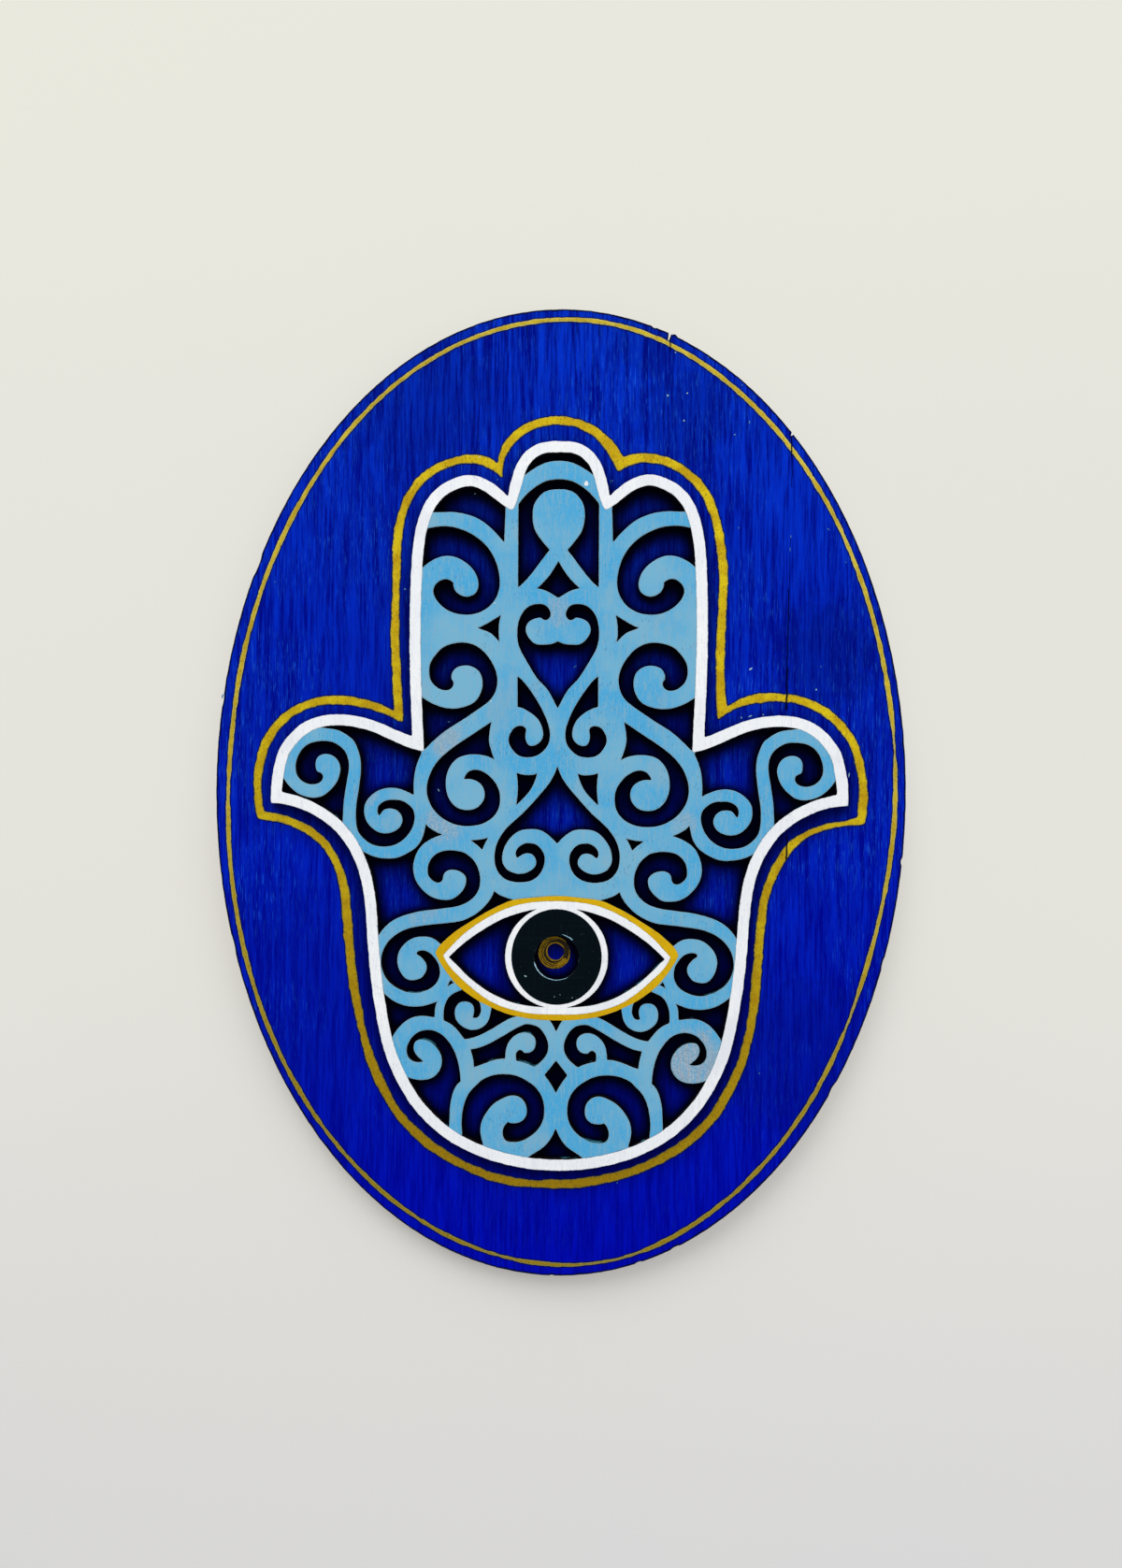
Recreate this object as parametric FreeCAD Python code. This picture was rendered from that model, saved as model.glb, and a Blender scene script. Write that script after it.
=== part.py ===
import FreeCAD, Part
import math
import os

# A painted hamsa wall plaque: an oval plywood board that carries a fretted plywood hand.
# X is to the right as the plaque is looked at, Z is up and the front faces -Y.
# The origin is where the wall nail carries the hanger: the top of its middle notch, at the wall.
# Sizes are in millimetres.

# The oval board, in three veneers.
BOARD_WIDTH = 202.5
BOARD_HEIGHT = 283.5
BOARD_FACE_PLY = 1.0
BOARD_CORE_PLY = 3.0
BOARD_BACK_PLY = 1.0

# The hand, sawn from a thinner sheet of three veneers and glued to the board.
# The board shows by these widths beside its thumbs, above its fingers and below its foot.
BOARD_BESIDE_HAND = 17.1
BOARD_ABOVE_HAND = 39.5
BOARD_BELOW_HAND = 31.7
HAND_WIDTH = BOARD_WIDTH - 2 * BOARD_BESIDE_HAND
HAND_HEIGHT = BOARD_HEIGHT - BOARD_ABOVE_HAND - BOARD_BELOW_HAND
FRET_FACE_PLY = 0.5
FRET_CORE_PLY = 2.0
FRET_BACK_PLY = 0.5

# Paint on the hand.
PAINT_COAT = 0.15
RIM_WIDTH = 3.2

# Gold lines drawn on the board with a paint pen.
GOLD_COAT = 0.1
HAND_LINE_GAP = 4.0
HAND_LINE_WIDTH = 2.4
OVAL_LINE_INSET = 3.4
OVAL_LINE_WIDTH = 1.4

# The round hole of the pupil, and the gold ring that is seen through it.
PUPIL_RADIUS = 6.5
PUPIL_DROP = 0.25
PUPIL_RING_RADIUS = 4.8
PUPIL_RING_BAND = 2.1
PUPIL_RING_SHIFT = -0.75
PUPIL_RING_RISE = 1.15

# The sawtooth hanger on the back, its two nails and the two pads below it.
HANGER_BELOW_BOARD_TOP = 34.0
HANGER_LENGTH = 44.0
HANGER_HEIGHT = 8.0
HANGER_SHEET = 0.8
HANGER_GAP = 1.4
HANGER_FOOT = 7.0
HANGER_RAMP = 2.0
TOOTH_PITCH = 3.0
TOOTH_DEPTH = 1.6
NAIL_SHANK_RADIUS = 0.7
NAIL_HEAD_RADIUS = 1.9
NAIL_HEAD_THICKNESS = 0.5
NAIL_LENGTH = 4.5
NAIL_POINT = 1.2
NAIL_CLEARANCE = 0.15
PAD_RADIUS = 5.0
PAD_ROUNDING = 0.7
PAD_FROM_MIDDLE = 45.0
PAD_ABOVE_BOARD_END = 40.0
CUT_OVERRUN = 1.0

# Where things lie, worked out from the sizes above.
STANDOFF = HANGER_GAP + HANGER_SHEET
BOARD_BACK = -STANDOFF
BOARD_CORE_BACK = BOARD_BACK - BOARD_BACK_PLY
BOARD_FACE_BACK = BOARD_CORE_BACK - BOARD_CORE_PLY
BOARD_FRONT = BOARD_FACE_BACK - BOARD_FACE_PLY
FRET_CORE_BACK = BOARD_FRONT - FRET_BACK_PLY
FRET_FACE_BACK = FRET_CORE_BACK - FRET_CORE_PLY
FRET_FRONT = FRET_FACE_BACK - FRET_FACE_PLY
BOARD_CENTRE_Z = HANGER_BELOW_BOARD_TOP - BOARD_HEIGHT / 2
BOARD_END_Z = BOARD_CENTRE_Z - BOARD_HEIGHT / 2
HAND_FOOT_Z = BOARD_END_Z + BOARD_BELOW_HAND

# Outlines are drawn in thousandths of the hand's width, from its middle, and of its height, from its foot.
# They hold the left half, and the right half is its mirror image.
# A stretch runs smoothly through its points to the first point of the next one, where there is a corner.
# A half outline starts and ends on the middle line.
WHOLE_SHARE = 1000
EYE_CENTRE_SHARES = (0, 292.9)
# Half widths and half heights of the white ring round the iris, and of the iris.
IRIS_RING_SHARES = (89.0, 70.7)
IRIS_SHARES = (78.1, 65.5)
# How far a shifted corner may reach, as a share of the shift.
RIM_NOTCH_REACH_SHARE = 1.3
RIM_CORNER_REACH_SHARE = 1.8
LINE_NOTCH_REACH_SHARE = 1.8
LINE_CORNER_REACH_SHARE = 1.15
CORNER_CLEAR_SHARE = 1.1
SHIFT_TOLERANCE_SHARE = 0.02

# The drawn lines wander: shares of a line's usual distance, spread evenly along it.
# For the hand's line, one row each for the middle finger, the left finger and thumb, the foot,
# and the right thumb and finger, anticlockwise.
HAND_LINE_GAP_SHARES = (
    (0.9, 0.95, 1.42, 1.2, 0.95),
    (0.85, 1.05, 1.15, 1.1, 0.9, 0.9, 0.85, 0.75, 0.75),
    (0.75, 0.72, 0.75, 0.9, 1.0, 0.95, 0.9),
    (0.8, 1.0, 1.15, 1.25, 1.2, 1.1, 1.0, 1.05, 0.95, 1.05, 0.9, 0.8, 0.75, 0.85, 0.8, 0.8, 0.6, 0.65, 0.9, 0.9, 1.1),
    (0.9, 0.9, 0.92, 1.05, 1.15, 1.2),
    (0.75, 0.72, 0.7, 0.78, 0.95, 0.85, 0.9, 1.1, 1.4),
)
# For the oval line, anticlockwise from the right.
OVAL_LINE_INSET_SHARES = (
    0.8, 0.85, 0.85, 0.95, 0.82, 1.0, 1.05, 1.12, 1.1, 1.18, 1.08, 0.95, 1.03, 1.08, 0.85, 1.08, 1.02, 1.03,
)

HAND_SHARES = (
    ((0, 1000), (-30, 998), (-50, 990.5), (-65, 979), (-78, 958), (-85, 938)),
    ((-88, 924), (-110, 940), (-132, 950), (-152, 954), (-180, 950), (-205, 940), (-229, 920), (-241, 900),
     (-250, 872), (-256, 820), (-258, 760), (-257, 680), (-254, 620)),
    ((-252.5, 594.5), (-280, 602.8), (-320, 616.3), (-350, 622.4), (-378, 624.7), (-410.5, 622.6),
     (-440, 614.2), (-469.6, 594.7), (-486, 575), (-495, 550), (-498.8, 529.7)),
    ((-499.5, 502), (-460, 497.7), (-420, 484.1), (-385, 463), (-358, 433), (-342.5, 402), (-334.5, 370),
     (-330.6, 334), (-327, 294), (-321.5, 253), (-314.5, 217), (-305.5, 181.2), (-294, 150.5), (-274.5, 117),
     (-252.3, 88.5), (-230.2, 68.3), (-200, 47), (-160, 27.8), (-120, 14.8), (-80, 6.3), (-40, 1.3), (0, 0)),
)

EYE_SHARES = (
    ((0, 376.5), (-50, 373.4), (-80, 369.6), (-100, 362.6), (-120, 354.6), (-150, 340.1), (-172.5, 328.7),
     (-190.5, 317), (-203, 307)),
    ((-210.5, 297), (-200.9, 282.3), (-187.1, 266.9), (-174.2, 254.7), (-155.6, 242.3), (-136, 232),
     (-116.7, 224.5), (-90.3, 215.5), (-60, 209.8), (-30, 206.7), (0, 206)),
)
LID_SHARES = (
    ((0, 369.5), (-46.4, 367.2), (-77.4, 361.6), (-108.4, 351.2), (-139.5, 336.4), (-170.5, 316.6),
     (-186, 303.4)),
    ((-197, 294), (-185.8, 278.8), (-170, 265.6), (-139, 244.2), (-107.7, 228.4), (-76.6, 220),
     (-45.5, 215.1), (0, 214)),
)
EYE_WHITE_SHARES = (
    ((0, 360.5), (-31, 359), (-62, 353.4), (-93, 344.7), (-124, 331.2), (-155, 314.5), (-170.5, 304)),
    ((-187, 291), (-178, 284.5), (-154.6, 266), (-123.3, 247), (-92, 234.2), (-61, 227), (-39, 224.7),
     (0, 223.5)),
)

# Openings of the left half that don't touch the middle line.
# Those at the rim or the eye run on beneath it and are trimmed there.
FINGERTIP_SHARES = (
    ((-300, 903),),
    ((-200, 903), (-180, 903), (-160, 900), (-140, 894), (-120, 883), (-105, 871)),
    ((-94, 861),),
    ((-92, 912),),
    ((-92, 1000),),
    ((-300, 1000),),
)
FINGER_CRESCENT_SHARES = (
    ((-262, 873), (-233, 880), (-197, 884), (-155, 875), (-120, 852), (-103, 820), (-104, 792), (-125, 770),
     (-165, 762), (-205, 776), (-217, 798), (-203, 810)),
    ((-182, 806), (-175, 792), (-158, 787), (-142, 794), (-140, 811), (-158, 832), (-192, 843), (-230, 831)),
    ((-258, 806),),
)
FINGER_TRIANGLE_SHARES = (
    ((-140, 744), (-128, 748), (-113, 755)),
    ((-99, 762), (-103, 742)),
    ((-101, 724), (-109, 731), (-118, 737), (-130, 741)),
)
FINGER_SCROLL_SHARES = (
    ((-184, 673), (-184, 681), (-178, 688), (-165, 692), (-150, 691), (-137, 684), (-131, 672), (-133, 657),
     (-145, 642), (-160, 636), (-183, 633), (-205, 636), (-225, 643), (-237, 649)),
    ((-250, 655),),
    ((-245, 577),),
    ((-230, 577), (-209.9, 592.8), (-190.5, 604.9), (-167.8, 616), (-150, 625.5), (-130.6, 636.1),
     (-116, 646), (-109, 655), (-105, 667), (-106, 681), (-116, 699), (-132, 714), (-150, 722), (-165, 724),
     (-180, 723), (-200, 717), (-213, 707), (-222, 695), (-224, 684), (-221, 672), (-210, 662), (-195, 658),
     (-186, 660), (-181, 666)),
)
PALM_HOOK_SHARES = (
    ((-70, 678),),
    ((-69.8, 635.5), (-60.3, 633.5), (-48.1, 628.1), (-40.8, 624), (-34.3, 618.6), (-29.7, 612.8),
     (-26.5, 606), (-26, 594), (-34.2, 585.1), (-40.5, 582.7), (-47, 582.4), (-51.3, 584.5), (-54.3, 588.5),
     (-55.7, 593.6), (-55.2, 600), (-54.6, 604.5), (-57, 607.7), (-61.5, 609.5), (-68.5, 609.3), (-75, 607),
     (-80.5, 601.5), (-84.3, 595), (-85, 589), (-80.4, 579.3), (-66.5, 568.5), (-57, 566.5), (-46, 566.7),
     (-36, 568.7), (-27, 573.5), (-16.5, 583.6), (-13.6, 591.8), (-13.1, 599.5), (-14.5, 607),
     (-17.8, 615.5), (-22.7, 625.3), (-38, 647.2), (-47.3, 658.2), (-56, 667.5), (-63, 673.5)),
)
THUMB_BAND_SHARES = (
    ((-415, 606.4), (-400, 605.1), (-380, 602), (-364, 594.5), (-355.7, 589), (-348.5, 578), (-343.7, 566),
     (-342.2, 556), (-342.5, 544), (-346.6, 518), (-350.4, 496), (-350, 474.7), (-346.5, 463.4),
     (-336, 452.7), (-325, 446.5), (-312, 443.3), (-290, 443.3), (-269.3, 450.9), (-253.2, 466.3),
     (-247.5, 481), (-251.1, 494.9), (-257, 500), (-264, 504), (-272.5, 506.5), (-284, 507.3),
     (-298.3, 506), (-305.4, 503.1), (-310.3, 499.5), (-312.4, 495.2), (-312.6, 490.2)),
    ((-310, 485), (-306.4, 488.3), (-301.5, 493), (-293.4, 494.9), (-286, 494.6), (-278.7, 492.5),
     (-273, 488.4), (-269.8, 483.2), (-269.2, 478), (-271, 473.3), (-275.5, 468), (-284, 463.6),
     (-293.3, 461.3), (-303.1, 461.2), (-312, 463), (-320.5, 467.3), (-328, 473.5), (-333, 480),
     (-335.8, 494.5), (-334.2, 501.2), (-329, 508.6), (-321.5, 514.5), (-311, 519.8), (-288.9, 523.7),
     (-266, 520), (-258.7, 517.5)),
    ((-249.3, 513.5), (-249.7, 522), (-249.4, 534), (-247.8, 545), (-242.5, 560)),
    ((-236, 571.5),),
    ((-250, 600),),
    ((-300, 625),),
    ((-415, 640),),
)
THUMB_SPIRAL_SHARES = (
    ((-373.5, 474), (-373.1, 480), (-372.1, 500), (-368.9, 520), (-364.5, 540), (-362.9, 555),
     (-370.8, 575), (-381, 582), (-393, 586.8), (-406, 588), (-420, 587.3), (-432, 584.5), (-442.4, 579),
     (-451, 569.7), (-456.8, 551), (-455.2, 543), (-450.7, 536.5), (-442.1, 530.7), (-431.8, 528),
     (-422.1, 528.1), (-413.1, 531), (-408.7, 536.2), (-408.6, 540.2), (-412.7, 544), (-417.9, 545.7),
     (-420.8, 550.6), (-421.4, 557.2), (-418.5, 564.4), (-412, 568.5), (-403.2, 569.8), (-391.9, 567.5),
     (-383.6, 561.8), (-378.1, 548.5), (-379.7, 541.1), (-383.6, 532.6), (-390.5, 524.5), (-399.1, 517.7),
     (-408, 512.5), (-427.6, 509.6), (-439, 511.2), (-451, 515.1), (-460.7, 520.4), (-469.3, 527.2)),
    ((-479, 538),),
    ((-492, 550),),
    ((-510, 495),),
    ((-373, 460),),
)
PALM_SPIRAL_SHARES = (
    ((-114.4, 615.5), (-130.6, 607), (-150, 596.5), (-169.5, 586.5), (-189.7, 574.8), (-207, 561.8),
     (-218.5, 548), (-225.2, 533.6), (-226.9, 518.2), (-222, 503.5), (-208.3, 488), (-189, 477.3),
     (-167, 472), (-153.3, 471.4), (-128.2, 475.3), (-109.6, 485.5), (-100.2, 499.7), (-99, 508.5),
     (-100.2, 518.9), (-109.6, 533.6), (-125, 544.8), (-134.6, 548.2), (-148.4, 548.5), (-154.9, 546),
     (-159.8, 541.3)),
    ((-162.4, 536), (-157.3, 536.2), (-148.4, 535.7), (-139.5, 533), (-132.2, 528.6), (-127.4, 522),
     (-126.2, 514.4), (-128.2, 507.3), (-133, 501.5), (-139.5, 497), (-151.7, 493.9), (-163, 494.1),
     (-172.7, 496.7), (-187.3, 508.3), (-191.7, 517), (-193.6, 527.2), (-191.3, 544.5), (-181.2, 559.2),
     (-172.7, 565), (-163, 568.2), (-141, 570.1), (-129, 569), (-120, 567.1)),
    ((-108.8, 562.5), (-112.8, 570.2), (-116, 577.8), (-118.3, 586), (-118.2, 600), (-116.4, 609)),
)
PALM_TRIANGLE_SHARES = (
    ((-71, 545.3), (-60.4, 542.8), (-50.1, 542.2), (-40.4, 542.8)),
    ((-34.8, 545), (-36.6, 539.4), (-41.2, 529.7), (-48.1, 519.9), (-57.3, 511.4), (-65, 505.3)),
    ((-71, 500.5), (-69.2, 513.8), (-68.5, 526), (-69.4, 538)),
)
BROW_SCROLL_SHARES = (
    ((-228, 474.8), (-229.6, 468.5), (-233.5, 456), (-243, 443.8), (-260, 433.8), (-279, 427.5),
     (-300, 426.6), (-320, 429.4), (-331, 433)),
    ((-342, 437.5),),
    ((-360, 440),),
    ((-345, 315),),
    ((-310, 319.8), (-300, 330.7), (-288.5, 338.9), (-270, 346.6), (-250, 351.6), (-228.6, 354.9),
     (-203, 357.4), (-180, 359.8), (-160.5, 364.6), (-146.6, 371.8), (-136.2, 383), (-132.8, 397.3),
     (-136.3, 412.7), (-146, 426), (-153.3, 431.2), (-160, 434.8), (-170, 437), (-180, 438.1), (-190, 438.1),
     (-206, 434.9), (-218, 427), (-224, 416.5), (-224.7, 409.8), (-224, 404.5), (-221, 400),
     (-216.5, 396.6), (-209.8, 393.7), (-203, 393.9), (-198.3, 398), (-197.5, 401.6), (-196, 405.5),
     (-192.8, 408.6), (-187.3, 410.8), (-181, 411.3), (-174, 410.5), (-167.3, 408.6), (-162, 405.5),
     (-158.3, 401.6), (-157.5, 396.3), (-158.7, 390.6), (-162, 385), (-174, 375), (-182.4, 371),
     (-193.3, 369.8), (-202.5, 370.3), (-212, 372), (-231.6, 382.2), (-244, 395), (-249, 406.5),
     (-249, 420.3), (-244.4, 432.4), (-236.5, 443), (-223, 451.5), (-207, 457.6)),
    ((-199, 459.6), (-206, 461.8), (-213, 464.7), (-222, 469)),
)
BROW_TRIANGLE_SHARES = (
    ((-149.5, 452.2), (-140, 452.6), (-130, 453.7)),
    ((-119.3, 456), (-123.5, 450), (-127.5, 443.5)),
    ((-129.6, 438.8), (-133.3, 441.8), (-138.7, 445.7), (-144.8, 449)),
)
TEMPLE_SCROLL_SHARES = (
    ((-108.5, 382.8), (-100.5, 378), (-87.3, 373.6)),
    ((-75.5, 371),),
    ((-75, 360),),
    ((-195, 305),),
    ((-202, 309.6), (-207, 312.8), (-219, 317.9), (-234, 319), (-250, 316.5), (-265.5, 307.8),
     (-275, 295.5), (-276.3, 282.5), (-271, 270), (-260, 260.7), (-252.5, 259), (-244, 259.7),
     (-236.3, 261.8), (-231, 265.8), (-227, 271), (-225.5, 275.5), (-226.5, 281.5), (-230, 286.3),
     (-234.5, 290.2)),
    ((-243, 294.8), (-241.5, 298.4), (-236.5, 300), (-231, 300.1), (-225.3, 299), (-214, 292.6),
     (-205.5, 283), (-202.1, 270.5), (-205, 260), (-213.7, 250.7), (-228.5, 244.2), (-243, 241.2),
     (-253.5, 241.4), (-270, 245.3), (-287.5, 253.5), (-299, 265), (-304.6, 278), (-304.4, 292.8),
     (-298.5, 305.5), (-287, 316.8), (-270, 326.2), (-250, 331.8), (-230, 334.6), (-210.4, 336.6),
     (-183, 338.8), (-165.4, 341.4), (-151.5, 346), (-140, 351.3), (-126, 360.8), (-115, 371.8)),
)
TEMPLE_STAR_SHARES = (
    ((-183.4, 260.4), (-180.5, 257.5)),
    ((-177.3, 255.9), (-183, 254)),
    ((-188.8, 250), (-186.8, 255.5)),
)
CHEEK_WEDGE_SHARES = (
    ((-301, 241.5), (-289.8, 233.9), (-270.1, 225.6), (-250.2, 222.7), (-229, 224.2), (-213.3, 228.2)),
    ((-206, 230.3), (-208.6, 226.4), (-210.4, 219.8)),
    ((-211, 208), (-218.5, 209), (-235.2, 210), (-250.2, 207.5), (-264.5, 200.7), (-277, 190)),
    ((-287.6, 175.8),),
    ((-310, 165),),
    ((-325, 250),),
)
CHEEK_CURL_SHARES = (
    ((-195.5, 204), (-196, 211), (-193.5, 225.4), (-185.4, 237.2), (-173, 243.8)),
    ((-164.5, 246.3),),
    ((-160, 256),),
    ((-130, 242),),
    ((-135.5, 232), (-132.2, 228), (-130.7, 222.3), (-130.6, 217.2), (-132.6, 212.5), (-135.6, 209.3),
     (-140, 208)),
    ((-145, 208.7), (-143.5, 212.6), (-142.7, 217.2), (-143.3, 222.3), (-146.3, 226.9), (-150.8, 229.3),
     (-156.3, 230.3), (-162.1, 230.1), (-168, 228.5), (-172.5, 224.9), (-175.3, 219.7), (-175.8, 213.6),
     (-174.5, 207.4), (-163.8, 196.7), (-156.3, 193.4), (-149.8, 191.9), (-140.8, 191.8), (-127, 196.2),
     (-116.8, 206.4), (-114.8, 212), (-113.2, 218.7)),
    ((-112.3, 224.2),),
    ((-110, 235),),
    ((-66, 222),),
    ((-68.5, 211), (-81, 207.4), (-100.1, 198.5), (-120.2, 189.2), (-140.1, 181.8), (-152, 179.2)),
    ((-159, 178.4), (-165.5, 185.2), (-176, 194.7), (-187.5, 201.1)),
)
WRIST_SCROLL_SHARES = (
    ((-184.8, 58.5), (-184.2, 70), (-182.7, 90.5), (-177.7, 106.5), (-170.5, 116.9)),
    ((-165.3, 120.4), (-166.2, 131.6), (-169.8, 147.1), (-176.7, 162.7), (-187.3, 176.2), (-200, 185.7),
     (-216, 190.7), (-232, 190), (-245.5, 184.5), (-256, 174), (-259, 168), (-259.8, 162.5), (-259, 157.3),
     (-256, 152.3), (-250.5, 148.5), (-243.5, 146.5), (-236, 146.3)),
    ((-230, 147.3), (-238.6, 153), (-243, 156.8), (-246, 161), (-247.3, 166), (-246.5, 171), (-243.5, 175),
     (-238, 177), (-231, 177), (-224, 175.8), (-209.5, 168), (-200, 156.5), (-198.3, 150), (-198.8, 143),
     (-205.5, 131.5), (-220, 123.5), (-237, 121.9), (-252.5, 124)),
    ((-260, 126.3),),
    ((-285, 110),),
    ((-190, 35),),
)
CHIN_SCROLL_SHARES = (
    ((-148.7, 165), (-130, 168.3), (-110, 175.7), (-90, 185), (-70, 194.3), (-61, 198), (-54, 200.1),
     (-46, 200.3), (-31.5, 196.8), (-20.5, 187.5), (-14, 175.5), (-14.3, 163), (-21.5, 152.8)),
    ((-38, 141.5), (-52, 146.5)),
    ((-69, 149.8), (-69.7, 155), (-69.4, 160), (-67, 163.2), (-63, 164.9), (-58.8, 164)),
    ((-55.7, 161.3), (-50, 160.8), (-44.5, 162), (-39.3, 165), (-36.2, 170), (-35.3, 175.5), (-36.5, 180.5),
     (-39.8, 184.3), (-45.5, 187.3), (-52, 188.7), (-60, 188.4), (-73, 183.3), (-83.5, 173), (-87.5, 160.5)),
    ((-88, 152.3), (-104, 151.2), (-122, 146.3)),
    ((-142.6, 140.3), (-143.3, 148.3), (-145.4, 155.5)),
)
FOOT_SCROLL_SHARES = (
    ((-162.3, 50.2), (-163.6, 63.4), (-162, 79.4), (-157.1, 94.5), (-149, 106.7), (-136.9, 116.8)),
    ((-130, 122.4), (-110, 129.5), (-90, 131.5), (-70, 129.8), (-50.4, 122.9), (-33.5, 112.5), (-24.7, 102),
     (-20.3, 89.7), (-20.1, 76), (-24.7, 63.2), (-35.4, 51.9), (-49.8, 43.4), (-66.5, 38.5), (-74.5, 38.3),
     (-81, 38.5), (-86.5, 40.3), (-90.5, 44.5), (-92, 49.8), (-91.5, 55), (-89, 60.3)),
    ((-83, 65.8), (-76, 64.2), (-68.3, 64.4), (-63, 65.5), (-57.5, 68.3), (-53, 72.3), (-50.7, 77.5),
     (-50.3, 82), (-51.2, 87.5), (-54, 93), (-64, 100.4), (-77.3, 102), (-92, 98), (-107.5, 90.2),
     (-120.5, 78), (-128.8, 64.5), (-130.3, 52), (-127.7, 40.5)),
    ((-125.8, 36),),
    ((-125.8, 10),),
    ((-165, 20),),
)
SIDE_OPENINGS_SHARES = (
    FINGERTIP_SHARES, FINGER_CRESCENT_SHARES, FINGER_TRIANGLE_SHARES, FINGER_SCROLL_SHARES,
    PALM_HOOK_SHARES, THUMB_BAND_SHARES, THUMB_SPIRAL_SHARES, PALM_SPIRAL_SHARES, PALM_TRIANGLE_SHARES,
    BROW_SCROLL_SHARES, BROW_TRIANGLE_SHARES, TEMPLE_SCROLL_SHARES, TEMPLE_STAR_SHARES,
    CHEEK_WEDGE_SHARES, CHEEK_CURL_SHARES, WRIST_SCROLL_SHARES, CHIN_SCROLL_SHARES, FOOT_SCROLL_SHARES,
)

# Left halves of the openings that cross the middle line.
ARCH_CRESCENT_SHARES = (
    ((0, 1000),),
    ((-60, 1000),),
    ((-60, 953), (-40, 964), (-20, 971), (0, 973)),
)
TEARDROP_SURROUND_SHARES = (
    ((0, 948), (-20, 946), (-40, 938), (-60, 924)),
    ((-70, 914),),
    ((-70, 799), (-52, 813), (-38, 827), (-25, 841)),
    ((-15, 851), (-22, 857), (-32, 867), (-40, 877), (-44.5, 890), (-45, 901), (-43, 912), (-35, 923),
     (-25, 930), (-15, 933), (0, 934)),
)
KITE_SHARES = (
    ((0, 836), (-8, 825), (-28, 805)),
    ((-38, 798), (-25, 796), (-12, 791), (0, 785)),
)
HEART_SHARES = (
    ((0, 726), (-12, 722), (-25, 721), (-38, 722), (-47, 727), (-54, 735), (-56, 743), (-52, 751),
     (-43, 756)),
    ((-30, 758), (-17, 756), (-13, 762), (-15, 769), (-22, 775), (-35, 777), (-50, 774), (-61, 766),
     (-69, 752), (-71, 737), (-70, 725), (-65, 713), (-52, 695), (-32, 671), (-18.7, 660), (-11.2, 650.6),
     (0, 633.5)),
)
LOWER_HEART_SHARES = (
    ((0, 555), (-7.5, 540), (-21, 524), (-41, 506), (-60, 489.5), (-82.5, 473.5), (-99.3, 456.5),
     (-106.2, 443.5), (-108.6, 429), (-105.5, 414), (-95, 402), (-87.3, 398), (-78.5, 395.8), (-61, 394.7),
     (-43, 397.8), (-29.5, 406.5), (-22, 419.5), (-21, 426), (-22, 433), (-26, 439), (-31, 443.8),
     (-38, 447.5), (-45.5, 448.6), (-53.5, 448.7), (-61, 446.5), (-67, 443), (-71, 438)),
    ((-69, 428), (-64.5, 430.5), (-59.5, 433.1), (-53.5, 434.6), (-47.5, 434.5), (-42, 432.5),
     (-38.4, 429), (-36.2, 424.5), (-36.5, 419.5), (-40, 415), (-45.5, 411.3), (-52.3, 408.4),
     (-60.7, 406.7), (-70.4, 406.8), (-79, 409), (-85.7, 411.8), (-90.5, 416), (-94, 421.5), (-95, 427),
     (-92, 441), (-85, 451.5), (-75, 460.3), (-61.4, 466.4), (-50, 467.7), (-30, 466.6), (-15.7, 460.2),
     (0, 447.9)),
)
BROW_WEDGE_SHARES = (
    ((0, 212),),
    ((-15, 212),),
    ((-13.2, 207.5), (-9.9, 204.4), (-6, 199.7), (0, 190.2)),
)
DIAMOND_SHARES = (
    ((0, 151.2),),
    ((-20, 130.8), (-15, 125.6), (-5, 113.6), (0, 106)),
)
FOOT_TRIANGLE_SHARES = (
    ((0, 57.9), (-5.3, 48.6), (-15.5, 36.3), (-33.4, 25.1), (-45, 19.2)),
    ((-60, 5),),
    ((-60, -10), (0, -10)),
)
# Each with whether it runs smoothly through the middle line, at its first and at its last point.
MIDDLE_OPENINGS = (
    (ARCH_CRESCENT_SHARES, False, True),
    (TEARDROP_SURROUND_SHARES, True, True),
    (KITE_SHARES, False, False),
    (HEART_SHARES, False, False),
    (LOWER_HEART_SHARES, False, False),
    (BROW_WEDGE_SHARES, False, False),
    (DIAMOND_SHARES, False, False),
    (FOOT_TRIANGLE_SHARES, False, False),
)


def place(shares, side=1):
    """The point of the hand's middle plane at the given shares; side -1 mirrors it to the right half."""
    x_share, z_share = shares
    x = side * x_share * HAND_WIDTH / WHOLE_SHARE
    z = HAND_FOOT_Z + z_share * HAND_HEIGHT / WHOLE_SHARE
    return FreeCAD.Vector(x, 0, z)


def loop(stretches, side=1):
    """Point lists of a closed outline, each ending where the next one starts."""
    lists = []
    for number, stretch in enumerate(stretches):
        following = stretches[(number + 1) % len(stretches)]
        lists.append([place(shares, side) for shares in stretch + (following[0],)])
    return lists


def whole(half, smooth_first=True, smooth_last=True):
    """Point lists of a closed outline whose left half runs from the middle line back to it."""
    left = []
    for number, stretch in enumerate(half):
        tail = (half[number + 1][0],) if number + 1 < len(half) else ()
        left.append(stretch + tail)
    lists = [[place(shares) for shares in stretch] for stretch in left]
    mirrored = [[place(shares, -1) for shares in reversed(stretch)] for stretch in reversed(left)]
    if smooth_last:
        lists[-1] = lists[-1] + mirrored.pop(0)[1:]
    if smooth_first:
        lists[0] = mirrored.pop() + lists[0][1:]
    return lists + mirrored


def curve(points):
    """A straight line through two points, or a smooth curve through more."""
    if len(points) == 2:
        return Part.LineSegment(points[0], points[1])
    spline = Part.BSplineCurve()
    spline.interpolate(points)
    return spline


def wire(lists):
    return Part.Wire([curve(points).toShape() for points in lists])


def face(lists):
    return Part.Face(wire(lists))


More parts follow.
